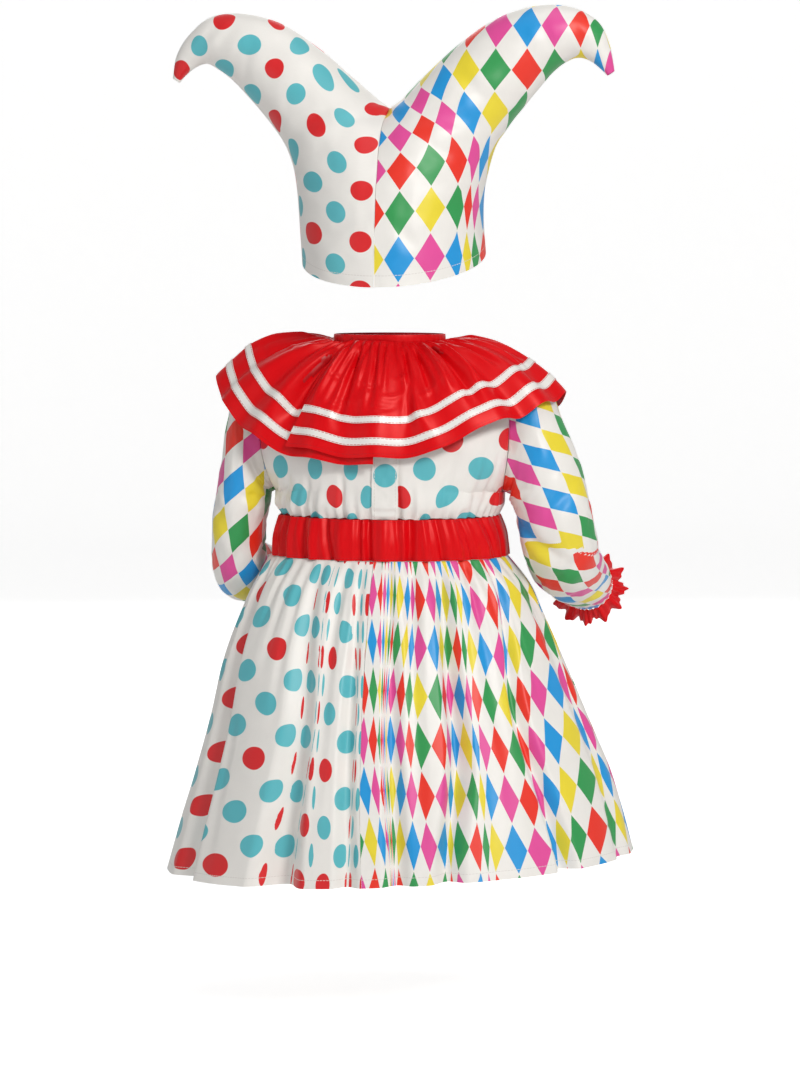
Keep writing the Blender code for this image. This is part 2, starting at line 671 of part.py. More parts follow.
HAT_RIGHT = table(
    "t low_x low_z high_x high_z depth turn tilt",
    (0, 81, 66, 0, 66, 85, 90, 0.29),
    (1, 79, 97, 0, 96, 83, 92, 0.24),
    (2, 80, 120, 0, 124, 78, 97, 0.18),
    (3, 84, 140, 0, 148, 71, 106, 0.12),
    (4, 88, 154, 0, 167, 64, 122, 0.07),
    (5, 92, 163, 0, 180, 58, 142, 0.03),
    (6, 97, 170, 0, 190, 52, 180, 0.0),
    (7, 104, 180, 12, 200, 47, 180, 0.0),
    (8, 114, 192, 33, 221, 41, 180, 0.0),
    (9, 125, 205, 60, 245, 35, 180, 0.0),
    (10, 138, 220, 92, 266, 29, 180, 0.0),
    (11, 150, 229, 126, 276, 24, 180, 0.0),
    (12, 160, 232, 155, 274, 19, 180, 0.0),
    (13, 170, 229, 176, 262, 14, 180, 0.0),
    (14, 179, 222, 186, 242, 9, 180, 0.0),
    (15, 184, 217, 190, 221, 3.5, 180, 0.0),
)
HAT_COLUMNS = 9
VALLEY_ROW = 6
TIP_SHARE = 0.45


def hat(rows, side, face, across, t):
    """One panel of the hat: across is 0 on the horn's lower ridge and 1 on its upper ridge or the centre seam."""
    full = np.radians(read(rows, "turn", t))
    turn = across * full
    along = (1 - np.cos(turn)) / (1 - np.cos(full))
    x = read(rows, "low_x", t) + (read(rows, "high_x", t) - read(rows, "low_x", t)) * along
    z = read(rows, "low_z", t) + (read(rows, "high_z", t) - read(rows, "low_z", t)) * along
    y = face * read(rows, "depth", t) * np.sin(turn)
    return points(side * x, y, z - read(rows, "tilt", t) * y)


def add_hat():
    for name, rows, side, face in (
        ("hat_left_back", HAT_LEFT, 1, 1),
        ("hat_left_front", HAT_LEFT, 1, -1),
        ("hat_right_back", HAT_RIGHT, -1, 1),
        ("hat_right_front", HAT_RIGHT, -1, -1),
    ):
        t, across = np.meshgrid(rows["t"], np.linspace(0.0, 1.0, HAT_COLUMNS), indexing="ij")
        surface = lambda u, v: hat(rows, side, face, u, v)
        middle_x = side * (read(rows, "low_x", t) + read(rows, "high_x", t)) / 2
        middle_z = (read(rows, "low_z", t) + read(rows, "high_z", t)) / 2
        middle_x = np.where(t < VALLEY_ROW, 0.0, middle_x)
        outer = surface(across, t)
        cloth = np.minimum(CLOTH, TIP_SHARE * read(rows, "depth", t))[..., None]
        inner = outer - cloth * normals(surface, across, t, points(middle_x, 0.0, middle_z))
        for wall in (outer, inner):
            wall[..., 0] = side * np.maximum(side * wall[..., 0], HALF_GAP)
            wall[..., 1] = face * np.maximum(face * wall[..., 1], HALF_GAP)
        add_wall(name, outer, inner, TEAL if side > 0 else CREAM)


def main():
    for found in list(bpy.data.objects):
        bpy.data.objects.remove(found)
    add_hat()
    add_neckband()
    add_collar()
    add_bodice()
    add_placket()
    for name, rows, side in (("left", SLEEVE_LEFT, 1), ("right", SLEEVE_RIGHT, -1)):
        add_sleeve("sleeve_" + name, rows, side)
        add_cuff("cuff_ruffle_" + name, rows, side)
    add_waistband()
    add_skirt()


main()
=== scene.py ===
# Harlequin costume: how it looks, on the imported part's frame.
# +Z is up, the garment's front faces -Y, its left side is +X, and the neck is at the origin.
# Tables are in millimetres and degrees. Angles start at the centre back and grow towards the garment's left.

import bpy
import mathutils
import numpy as np
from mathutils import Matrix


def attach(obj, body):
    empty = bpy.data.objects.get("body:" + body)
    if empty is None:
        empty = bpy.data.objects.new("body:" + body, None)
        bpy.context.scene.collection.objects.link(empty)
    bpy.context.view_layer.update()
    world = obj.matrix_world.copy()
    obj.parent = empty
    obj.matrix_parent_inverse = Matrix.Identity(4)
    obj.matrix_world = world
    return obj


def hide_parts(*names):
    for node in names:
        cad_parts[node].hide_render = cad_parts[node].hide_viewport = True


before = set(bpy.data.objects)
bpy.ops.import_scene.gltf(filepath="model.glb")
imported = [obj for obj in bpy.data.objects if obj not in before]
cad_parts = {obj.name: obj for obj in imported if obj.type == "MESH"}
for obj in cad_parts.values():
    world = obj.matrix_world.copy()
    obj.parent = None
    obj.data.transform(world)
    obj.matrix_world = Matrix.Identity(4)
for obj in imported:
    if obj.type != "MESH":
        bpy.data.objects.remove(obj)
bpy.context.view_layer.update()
print("frame loaded:", len(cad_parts), "nodes")

mm = 0.001
clothThickness = 0.7  # what a hem's edge shows; the solids' walls are thicker, behind the same outer side
seamGap = 0.3


# Curves, tables and grids

def tableOf(columns, *rows):
    # the rows of a short table, as one array for each named column
    values = np.array(rows, float)
    return {name: values[:, k] for k, name in enumerate(columns.split())}


def curveAt(data, column, at):
    # a smooth curve through one column, read at places along the table's first column
    stations = next(iter(data.values()))
    values = data[column]
    slopes = np.gradient(values, stations)
    at = np.clip(at, stations[0], stations[-1])
    k = np.clip(np.searchsorted(stations, at, side="right") - 1, 0, len(stations) - 2)
    span = stations[k + 1] - stations[k]
    f = (at - stations[k]) / span
    rise = values[k + 1] - values[k]
    start, end = slopes[k] * span, slopes[k + 1] * span
    return values[k] + start * f + (3 * rise - 2 * start - end) * f**2 + (start + end - 2 * rise) * f**3


def ease(x):
    # 0 before 0, 1 after 1, and smooth between
    x = np.clip(x, 0.0, 1.0)
    return x * x * (3 - 2 * x)


def bell(distance, halfWidth):
    # a soft bump: 1 in its middle and 0 from halfWidth outwards
    return 0.5 + 0.5 * np.cos(np.pi * np.clip(distance / halfWidth, -1.0, 1.0))


def turnBetween(angle, other):
    # the signed angle from other to angle, from -180 to 180
    return (angle - other + 180.0) % 360.0 - 180.0


def pointsOf(x, y, z):
    return np.stack(np.broadcast_arrays(x, y, z), axis=-1)


def unitOf(vectors):
    return vectors / np.linalg.norm(vectors, axis=-1, keepdims=True)


def softNoise(u, v, seed):
    # smooth noise from -1 to 1: a hashed value at each whole (u, v), eased between the four nearest
    def hashed(i, j):
        mixed = np.sin(i * 127.1 + j * 311.7 + seed * 74.7) * 43758.5453
        return 2 * (mixed - np.floor(mixed)) - 1
    i, j = np.floor(u), np.floor(v)
    fu, fv = ease(u - i), ease(v - j)
    low = hashed(i, j) + (hashed(i + 1, j) - hashed(i, j)) * fu
    high = hashed(i, j + 1) + (hashed(i + 1, j + 1) - hashed(i, j + 1)) * fu
    return low + (high - low) * fv


def normalsOf(surface, u, v, inside):
    # unit normals of surface(u, v) by central differences, pointing away from inside
    step = 2e-3
    along = surface(u + step, v) - surface(u - step, v)
    across = surface(u, v + step) - surface(u, v - step)
    found = unitOf(np.cross(along, across))
    side = ((surface(u, v) - inside) * found).sum(axis=-1, keepdims=True)
    return found * np.where(side < 0, -1.0, 1.0)


def gridNormals(points, away):
    # unit normals of a grid of points, turned to the same side as away
    found = unitOf(np.cross(np.gradient(points, axis=1), np.gradient(points, axis=0)))
    side = (found * away).sum(axis=-1, keepdims=True)
    return found * np.where(side < 0, -1.0, 1.0)


def lengthsAlong(points, axis):
    # the distance travelled along rows (axis 1) or columns (axis 0) of a grid, from 0
    steps = np.linalg.norm(np.diff(points, axis=axis), axis=-1)
    start = np.zeros_like(steps[:, :1] if axis == 1 else steps[:1])
    return np.concatenate([start, np.cumsum(steps, axis=axis)], axis=axis)


def gridFaces(index):
    # one four-sided face for each cell of a grid of point numbers
    a, b = index[:-1, :-1], index[:-1, 1:]
    d, c = index[1:, :-1], index[1:, 1:]
    return np.stack([a.ravel(), b.ravel(), c.ravel(), d.ravel()], 1)


def clothPiece(name, outer, inner, print_, seams, materials, around=False):
    # A closed shell between two grids of points in millimetres, with the right side in the first
    # material and the reverse in the second. print_ and seams are grids of (u, v) in metres of cloth.
    rows, columns = outer.shape[:2]
    front = np.arange(rows * columns).reshape(rows, columns)
    if around:
        front = np.hstack([front, front[:, :1]])
        print_ = np.concatenate([print_, print_[:, -1:] * 2 - print_[:, -2:-1]], axis=1)
        seams = np.concatenate([seams, seams[:, -1:] * 2 - seams[:, -2:-1]], axis=1)
    back = front + rows * columns
    spot = np.arange(front.size).reshape(front.shape)
    quads = [gridFaces(front), gridFaces(back)[:, ::-1]]
    spots = [gridFaces(spot), gridFaces(spot)[:, ::-1]]
    rims = [(0, slice(None), True), (-1, slice(None), False)]
    if not around:
        rims += [(slice(None), 0, False), (slice(None), -1, True)]
    for row, column, flip in rims:
        edge = np.stack([front[row, column], back[row, column]])
        where = np.stack([spot[row, column], spot[row, column]])
        face, place = gridFaces(edge), gridFaces(where)
        quads.append(face if not flip else face[:, ::-1])
        spots.append(place if not flip else place[:, ::-1])
    faces, places = np.concatenate(quads), np.concatenate(spots)
    verts = np.concatenate([outer.reshape(-1, 3), inner.reshape(-1, 3)]) * mm
    corners = verts[faces]
    volume = (np.cross(corners[:, 0], corners[:, 1]) * corners[:, 2]).sum()
    volume += (np.cross(corners[:, 0], corners[:, 2]) * corners[:, 3]).sum()
    if volume < 0:
        faces, places = faces[:, ::-1], places[:, ::-1]
    mesh = bpy.data.meshes.new(name)
    mesh.vertices.add(len(verts))
    mesh.vertices.foreach_set("co", verts.ravel())
    mesh.loops.add(faces.size)
    mesh.loops.foreach_set("vertex_index", faces.ravel().astype(np.int32))
    mesh.polygons.add(len(faces))
    mesh.polygons.foreach_set("loop_start", np.arange(0, faces.size, 4, dtype=np.int32))
    for material in materials:
        mesh.materials.append(material)
    reverse = np.zeros(len(faces), np.int32)
    reverse[len(quads[0]):2 * len(quads[0])] = 1
    mesh.polygons.foreach_set("material_index", reverse)
    for layerName, values in (("print", print_), ("seams", seams)):
        layer = mesh.uv_layers.new(name=layerName)
        layer.uv.foreach_set("vector", values.reshape(-1, 2)[places.ravel()].ravel())
    mesh.update(calc_edges=True)
    mesh.validate()
    mesh.shade_smooth()
    mesh.set_sharp_from_angle(angle=np.radians(60))
    piece = bpy.data.objects.new(name, mesh)
    bpy.context.scene.collection.objects.link(piece)
    return piece


def dressed(piece, nodes):
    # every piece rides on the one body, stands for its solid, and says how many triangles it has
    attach(piece, "root")
    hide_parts(*nodes)
    print("made", piece.name, "with", len(piece.data.polygons) * 2, "triangles")
    return piece


# Printed and plain satin

def groupOf(name, inputs, outputs):
    # an empty shader node group with named sockets: inputs and outputs are lists of (name, kind, value)
    group = bpy.data.node_groups.new(name, "ShaderNodeTree")
    for direction, sockets in (("INPUT", inputs), ("OUTPUT", outputs)):
        for label, kind, value in sockets:
            socket = group.interface.new_socket(name=label, in_out=direction, socket_type="NodeSocket" + kind)
            if value is not None:
                socket.default_value = value
    return group, group.nodes.new("NodeGroupInput"), group.nodes.new("NodeGroupOutput")


def mathNode(tree, operation, *values, clamp=False):
    # one Math node, fed by numbers or by sockets
    node = tree.nodes.new("ShaderNodeMath")
    node.operation = operation
    node.use_clamp = clamp
    for socket, value in zip(node.inputs, values):
        if isinstance(value, (int, float)):
            socket.default_value = value
        else:
            tree.links.new(value, socket)
    return node.outputs[0]


def mixColours(tree, factor, first, second):
    # first where factor is 0 and second where it is 1
    node = tree.nodes.new("ShaderNodeMix")
    node.data_type = "RGBA"
    for label, value in (("Factor", factor), ("A", first), ("B", second)):
        socket = [s for s in node.inputs if s.name == label and s.enabled][0]
        if isinstance(value, (int, float, tuple)):
            socket.default_value = value
        else:
            tree.links.new(value, socket)
    return [s for s in node.outputs if s.enabled][0]


def coloursByNumber(tree, number, colours):
    # the colour that stands at a whole number, from 0
    ramp = tree.nodes.new("ShaderNodeValToRGB")
    ramp.color_ramp.interpolation = "CONSTANT"
    stops = ramp.color_ramp.elements
    while len(stops) < len(colours):
        stops.new(1.0)
    for k, colour in enumerate(colours):
        stops[k].position = max(0.0, (k - 0.5) / len(colours))
        stops[k].color = colour
    tree.links.new(mathNode(tree, "DIVIDE", number, float(len(colours))), ramp.inputs[0])
    return ramp.outputs[0]


satinWhite = (0.88, 0.855, 0.815, 1.0)
dotSettings = {
    "step": 0.0234,  # half the repeat, in metres of cloth
    "radius": 0.0097,
    "soft": 0.0004,
    "teal": (0.105, 0.50, 0.565, 1.0),
    "red": (0.74, 0.012, 0.016, 1.0),
}
diamondSettings = {
    "width": 0.0255,
    "height": 0.0415,
    "soft": 0.010,
    "colours": (
        (0.80, 0.075, 0.34, 1.0),  # pink
        (0.86, 0.030, 0.012, 1.0),  # red
        (0.030, 0.33, 0.085, 1.0),  # green
        (0.86, 0.70, 0.035, 1.0),  # yellow
        (0.010, 0.32, 0.74, 1.0),  # blue
    ),
}


def makeDotPrint():
    # Dots on a staggered square lattice. With m and n counted in half repeats, a dot sits where m + n is
    # even. Rows go: all red, all teal, teal and red by turns, all teal.
    s = dotSettings
    group, given, made = groupOf("dotPrint", [("Cloth", "Vector", None)], [("Color", "Color", None)])
    split = group.nodes.new("ShaderNodeSeparateXYZ")
    group.links.new(given.outputs["Cloth"], split.inputs[0])
    m = mathNode(group, "DIVIDE", split.outputs[0], s["step"])
    n = mathNode(group, "DIVIDE", split.outputs[1], s["step"])
    a = mathNode(group, "MULTIPLY", mathNode(group, "ADD", m, n), 0.5)
    b = mathNode(group, "MULTIPLY", mathNode(group, "SUBTRACT", m, n), 0.5)
    wholeA, wholeB = mathNode(group, "ROUND", a), mathNode(group, "ROUND", b)
    dm = mathNode(group, "SUBTRACT", m, mathNode(group, "ADD", wholeA, wholeB))
    dn = mathNode(group, "SUBTRACT", n, mathNode(group, "SUBTRACT", wholeA, wholeB))
    squares = mathNode(group, "ADD", mathNode(group, "MULTIPLY", dm, dm), mathNode(group, "MULTIPLY", dn, dn))
    distance = mathNode(group, "SQRT", squares)
    inset = mathNode(group, "SUBTRACT", s["radius"] / s["step"], distance)
    dot = mathNode(group, "ADD", mathNode(group, "DIVIDE", inset, s["soft"] / s["step"]), 0.5, clamp=True)
    row = mathNode(group, "FLOORED_MODULO", mathNode(group, "SUBTRACT", wholeA, wholeB), 4.0)
    half = mathNode(group, "MULTIPLY", mathNode(group, "ADD", wholeA, wholeB), 0.5)
    turn = mathNode(group, "FLOORED_MODULO", half, 2.0)
    redRow = mathNode(group, "LESS_THAN", row, 0.5)
    mixedRow = mathNode(group, "COMPARE", row, 2.0, 0.5)
    redTurn = mathNode(group, "MULTIPLY", mixedRow, mathNode(group, "COMPARE", turn, 1.0, 0.25))
    red = mathNode(group, "MAXIMUM", redRow, redTurn)
    colour = mixColours(group, red, s["teal"], s["red"])
    group.links.new(mixColours(group, dot, satinWhite, colour), made.inputs["Color"])
    return group


def makeDiamondPrint():
    # Tall diamonds tip to tip on whole numbers (i, j), white between them. The colour steps down the list
    # with the height j over 4 rows, and to and fro with the column i over 8 columns.
    s = diamondSettings
    group, given, made = groupOf("diamondPrint", [("Cloth", "Vector", None)], [("Color", "Color", None)])
    split = group.nodes.new("ShaderNodeSeparateXYZ")
    group.links.new(given.outputs["Cloth"], split.inputs[0])
    a = mathNode(group, "DIVIDE", split.outputs[0], s["width"])
    b = mathNode(group, "DIVIDE", split.outputs[1], s["height"])
    i, j = mathNode(group, "ROUND", a), mathNode(group, "ROUND", b)
    da = mathNode(group, "ABSOLUTE", mathNode(group, "SUBTRACT", a, i))
    db = mathNode(group, "ABSOLUTE", mathNode(group, "SUBTRACT", b, j))
    inset = mathNode(group, "SUBTRACT", 0.49, mathNode(group, "ADD", da, db))
    mask = mathNode(group, "ADD", mathNode(group, "DIVIDE", inset, s["soft"]), 0.5, clamp=True)
    column = mathNode(group, "FLOORED_MODULO", i, 8.0)
    swing = mathNode(group, "ABSOLUTE", mathNode(group, "SUBTRACT", column, 4.0))
    swing = mathNode(group, "SUBTRACT", 4.0, swing)
    rise = mathNode(group, "FLOORED_MODULO", j, 4.0)
    number = mathNode(group, "FLOORED_MODULO", mathNode(group, "SUBTRACT", rise, swing), 5.0)
    colour = coloursByNumber(group, number, s["colours"])
    group.links.new(mixColours(group, mask, satinWhite, colour), made.inputs["Color"])
    return group


fullTurn = 6.2832
satinSettings = {
    "streakScale": (2600.0, 130.0, 1.0),
    "mottleScale": 38.0,
    "mottle": 0.10,
    "warpStep": 0.0005,  # in metres of cloth, as are the next ones
    "weftStep": 0.0016,
    "stitchHalfWidth": 0.00022,
    "stitchStep": 0.0028,
    "grooveHalfWidth": 0.0016,
    "grooveHeight": 0.55,
    "stitchHeight": 0.35,
    "weaveHeight": 0.10,
    "streakHeight": 0.12,
}


def makeSatinGroup():
    # What satin adds to any colour: faint streaks along the warp, a slight mottle, a fine weave for the bump,
    # and a row of stitches where the seams layer says that one runs (V is the distance from it).
    inputs = [
        ("Color", "Color", (0.8, 0.8, 0.8, 1.0)), ("Cloth", "Vector", None), ("Seams", "Vector", None),
        ("Roughness", "Float", 0.4), ("Streaks", "Float", 0.05),
        ("Stitch Color", "Color", (0.8, 0.8, 0.8, 1.0)),
    ]
    outputs = [("Color", "Color", None), ("Roughness", "Float", None), ("Height", "Float", None)]
    s = satinSettings
    group, given, made = groupOf("satinFinish", inputs, outputs)
    stretch = group.nodes.new("ShaderNodeMapping")
    stretch.inputs["Scale"].default_value = s["streakScale"]
    group.links.new(given.outputs["Cloth"], stretch.inputs["Vector"])
    streak = group.nodes.new("ShaderNodeTexNoise")
    streak.inputs["Scale"].default_value = 1.0
    streak.inputs["Detail"].default_value = 2.0
    group.links.new(stretch.outputs[0], streak.inputs["Vector"])
    mottle = group.nodes.new("ShaderNodeTexNoise")
    mottle.inputs["Scale"].default_value = s["mottleScale"]
    mottle.inputs["Detail"].default_value = 3.0
    group.links.new(given.outputs["Cloth"], mottle.inputs["Vector"])
    split = group.nodes.new("ShaderNodeSeparateXYZ")
    group.links.new(given.outputs["Cloth"], split.inputs[0])
    warp = mathNode(group, "SINE", mathNode(group, "MULTIPLY", split.outputs[0], fullTurn / s["warpStep"]))
    weft = mathNode(group, "SINE", mathNode(group, "MULTIPLY", split.outputs[1], fullTurn / s["weftStep"]))
    weave = mathNode(group, "MULTIPLY", mathNode(group, "MULTIPLY", warp, weft), s["weaveHeight"])
    seam = group.nodes.new("ShaderNodeSeparateXYZ")
    group.links.new(given.outputs["Seams"], seam.inputs[0])
    offLine = mathNode(group, "ABSOLUTE", seam.outputs[1])
    onLine = mathNode(group, "LESS_THAN", offLine, s["stitchHalfWidth"])
    along = mathNode(group, "FRACT", mathNode(group, "DIVIDE", seam.outputs[0], s["stitchStep"]))
    dash = mathNode(group, "MULTIPLY", onLine, mathNode(group, "GREATER_THAN", along, 0.25))
    groove = mathNode(group, "DIVIDE", offLine, s["grooveHalfWidth"], clamp=True)
    sunk = mathNode(group, "MULTIPLY", groove, s["grooveHeight"])
    level = mathNode(group, "ADD", sunk, mathNode(group, "MULTIPLY", dash, s["stitchHeight"]))
    woven = mathNode(group, "ADD", level, weave)
    streaked = mathNode(group, "MULTIPLY", streak.outputs[0], s["streakHeight"])
    height = mathNode(group, "ADD", woven, streaked)
    group.links.new(height, made.inputs["Height"])
    shade = mathNode(group, "SUBTRACT", streak.outputs[0], 0.5)
    shade = mathNode(group, "MULTIPLY", shade, given.outputs["Streaks"])
    patchy = mathNode(group, "SUBTRACT", mottle.outputs[0], 0.5)
    patchy = mathNode(group, "MULTIPLY", patchy, s["mottle"])
    shade = mathNode(group, "ADD", shade, patchy)
    bright = mathNode(group, "ADD", 1.0, shade)
    tinted = group.nodes.new("ShaderNodeMix")
    tinted.data_type = "RGBA"
    tinted.blend_type = "MULTIPLY"
    colourSockets = [socket for socket in tinted.inputs if socket.enabled and socket.name in ("A", "B")]
    factor = [socket for socket in tinted.inputs if socket.enabled and socket.name == "Factor"][0]
    factor.default_value = 1.0
    group.links.new(given.outputs["Color"], colourSockets[0])
    grey = group.nodes.new("ShaderNodeCombineColor")
    for socket in grey.inputs[:3]:
        group.links.new(bright, socket)
    group.links.new(grey.outputs[0], colourSockets[1])
    cloth = [socket for socket in tinted.outputs if socket.enabled][0]
    group.links.new(mixColours(group, dash, cloth, given.outputs["Stitch Color"]), made.inputs["Color"])
    rough = mathNode(group, "ADD", given.outputs["Roughness"], mathNode(group, "MULTIPLY", shade, 0.8))
    group.links.new(rough, made.inputs["Roughness"])
    return group


prints = {"dots": makeDotPrint(), "diamonds": makeDiamondPrint()}
satinFinish = makeSatinGroup()

finishes = {
    "dottedSatin": {
        "print": "dots", "roughness": 0.44, "streaks": 0.05, "sheen": 0.10, "bump": 0.10, "pale": 0.0,
    },
    "dottedReverse": {
        "print": "dots", "roughness": 0.60, "streaks": 0.08, "sheen": 0.05, "bump": 0.10, "pale": 0.55,
    },
    "diamondSatin": {
        "print": "diamonds", "roughness": 0.42, "streaks": 0.05, "sheen": 0.10, "bump": 0.10, "pale": 0.0,
    },
    "diamondReverse": {
        "print": "diamonds", "roughness": 0.60, "streaks": 0.08, "sheen": 0.05, "bump": 0.10, "pale": 0.55,
    },
    "redSatin": {
        "colour": (0.74, 0.002, 0.006, 1.0), "gleam": (1.0, 0.30, 0.28, 1.0),
        "roughness": 0.36, "streaks": 0.16, "sheen": 0.0, "bump": 0.12,
    },
    "redReverse": {
        "colour": (0.50, 0.002, 0.006, 1.0), "roughness": 0.45, "streaks": 0.16, "sheen": 0.0, "bump": 0.12,
    },
    "whiteRibbon": {
        "colour": (0.86, 0.835, 0.80, 1.0), "roughness": 0.30, "streaks": 0.10, "sheen": 0.10, "bump": 0.10,
    },
}
stitchColours = {
    "dots": (0.74, 0.70, 0.66, 1.0),
    "diamonds": (0.74, 0.70, 0.66, 1.0),
    None: (0.58, 0.010, 0.016, 1.0),
}


def makeFinish(name, settings):
    material = bpy.data.materials.new(name)
    material.use_nodes = True
    tree = material.node_tree
    shader = tree.nodes["Principled BSDF"]
    printMap = tree.nodes.new("ShaderNodeUVMap")
    printMap.uv_map = "print"
    seamMap = tree.nodes.new("ShaderNodeUVMap")
    seamMap.uv_map = "seams"
    satin = tree.nodes.new("ShaderNodeGroup")
    satin.node_tree = satinFinish
    tree.links.new(printMap.outputs[0], satin.inputs["Cloth"])
    tree.links.new(seamMap.outputs[0], satin.inputs["Seams"])
    satin.inputs["Roughness"].default_value = settings["roughness"]
    satin.inputs["Streaks"].default_value = settings["streaks"]
    satin.inputs["Stitch Color"].default_value = stitchColours[settings.get("print")]
    if "print" in settings:
        printed = tree.nodes.new("ShaderNodeGroup")
        printed.node_tree = prints[settings["print"]]
        tree.links.new(printMap.outputs[0], printed.inputs["Cloth"])
        colour = mixColours(tree, settings["pale"], printed.outputs["Color"], satinWhite)
        tree.links.new(colour, satin.inputs["Color"])
    else:
        satin.inputs["Color"].default_value = settings["colour"]
    bump = tree.nodes.new("ShaderNodeBump")
    bump.inputs["Strength"].default_value = settings["bump"]
    bump.inputs["Distance"].default_value = 0.0006
    tree.links.new(satin.outputs["Height"], bump.inputs["Height"])
    tree.links.new(satin.outputs["Color"], shader.inputs["Base Color"])
    tree.links.new(satin.outputs["Roughness"], shader.inputs["Roughness"])
    tree.links.new(bump.outputs[0], shader.inputs["Normal"])
    shader.inputs["Sheen Weight"].default_value = settings["sheen"]
    shader.inputs["Sheen Roughness"].default_value = 0.35
    shader.inputs["Specular IOR Level"].default_value = 0.5
    shader.inputs["Specular Tint"].default_value = settings.get("gleam", (1.0, 1.0, 1.0, 1.0))
    return material


cloths = {name: makeFinish(name, settings) for name, settings in finishes.items()}
dots = [cloths["dottedSatin"], cloths["dottedReverse"]]
diamonds = [cloths["diamondSatin"], cloths["diamondReverse"]]
redCloth = [cloths["redSatin"], cloths["redReverse"]]
ribbonCloth = [cloths["whiteRibbon"], cloths["whiteRibbon"]]
print("satin ready")


# Skirt: four gathered panels, dots on the left half and diamonds on the right half

skirtSettings = {
    "rows": 112,
    "columns": 168,
    "hemSlope": 0.05,
    "foldsStart": 0.1,
    "pressAngle": 104.0,  # where the left sleeve lies against the skirt
    "pressHalfWidth": 42.0,
    "pressDepth": 11.0,
    "pressReach": 0.42,
    "gathers": 56,  # all round, under the waistband
    "gatherDepth": 1.9,
    "gatherReach": 0.30,
    "stitchAboveHem": 7.0,
    "middleY": 2.0,
}
skirtSections = tableOf(
    "t z left right back front",
    (0.00, -186.3, 102.0, 101.0, 79.0, 79.0),
    (0.08, -207.0, 117.0, 118.0, 93.0, 90.0),
    (0.18, -234.0, 129.0, 131.0, 105.0, 100.0),
    (0.34, -275.0, 143.0, 149.0, 121.0, 114.0),
    (0.51, -320.0, 153.0, 168.0, 137.0, 128.0),
    (0.68, -366.0, 166.0, 186.0, 150.0, 140.0),
    (0.85, -410.0, 180.0, 199.0, 161.0, 150.0),
    (1.00, -446.0, 191.0, 208.0, 168.0, 157.0),
)
skirtFolds = tableOf(
    "top middle hem widthTop widthHem depthTop depthMiddle depthHem",
    (62, 60, 59, 7, 8, 5, 12, 14),
    (26, 22, 22.5, 5, 9, 5, 12, 26),
    (13.6, 13, 13, 3.5, 3, 5, 2, 0),
    (5, 5, 3, 3, 4, 3, 8, 10),
    (-7, -8, -9, 3, 4, 3, 9, 10),
    (-16, -15, -14, 4, 3, 7, 2, 0),
    (-29, -27, -21, 5, 4.5, 8, 17, 14),
    (-43, -40, -38, 4, 3, 5, 1, 0),
    (-58.5, -48.5, -53, 4, 4.5, 4, 11, 14),
    (-82, -80, -79, 6, 6, 3, 5, 6),
    (104, 103, 102, 6, 7, 3, 7, 10),
    (126, 124, 123, 6, 8, 6, 12, 18),
    (150, 148, 147, 5, 7, 5, 9, 13),
    (168, 167, 166, 4, 5, 4, 6, 8),
    (192, 193, 194, 4, 5, 4, 6, 8),
    (211, 213, 214, 5, 8, 6, 11, 17),
    (234, 236, 237, 6, 7, 5, 9, 12),
    (256, 257, 258, 6, 7, 3, 7, 10),
)
# Soft creases between the folds: from one angle under the waistband to another at the hem, over part of the
# height.
skirtCreases = tableOf(
    "top hem start end halfWidth depth",
    (40, 41, 0.02, 0.38, 3.0, 1.8),
    (47, 52, 0.00, 0.30, 2.6, 1.6),
    (33, 31, 0.03, 0.55, 3.0, 1.4),
    (54, 47, 0.45, 1.05, 4.0, 1.2),
    (70, 72, 0.05, 0.50, 3.0, 1.8),
    (80, 82, 0.10, 0.80, 4.0, 1.6),
    (9, 8, 0.05, 0.35, 2.2, 1.2),
    (-10.5, -10, 0.10, 0.60, 2.4, 1.2),
    (-21, -17, 0.04, 0.45, 2.4, -1.0),
    (-36, -29, 0.02, 0.50, 2.6, 1.6),
    (-47, -44, 0.02, 0.34, 2.8, 1.8),
    (-35, -33, 0.60, 1.05, 3.4, 1.2),
    (-60, -58, 0.04, 0.55, 3.0, 1.6),
    (-77, -75, 0.06, 0.60, 3.4, 1.8),
    (-84, -83, 0.35, 1.05, 3.6, 1.4),
    (96, 96, 0.10, 0.70, 3.2, 1.5),
    (114, 112, 0.04, 0.50, 3.0, 1.6),
    (137, 135, 0.03, 0.45, 2.8, 1.8),
    (143, 140, 0.50, 1.05, 3.4, 1.2),
    (158, 157, 0.04, 0.55, 2.6, 1.4),
    (174, 175, 0.08, 0.40, 2.4, 1.2),
    (185, 184, 0.05, 0.60, 2.4, 1.3),
    (201, 203, 0.03, 0.50, 2.8, 1.6),
    (222, 225, 0.04, 0.60, 3.0, 1.7),
    (229, 231, 0.45, 1.05, 3.2, 1.2),
    (245, 247, 0.05, 0.50, 3.0, 1.6),
    (264, 266, 0.10, 0.75, 3.4, 1.5),
)
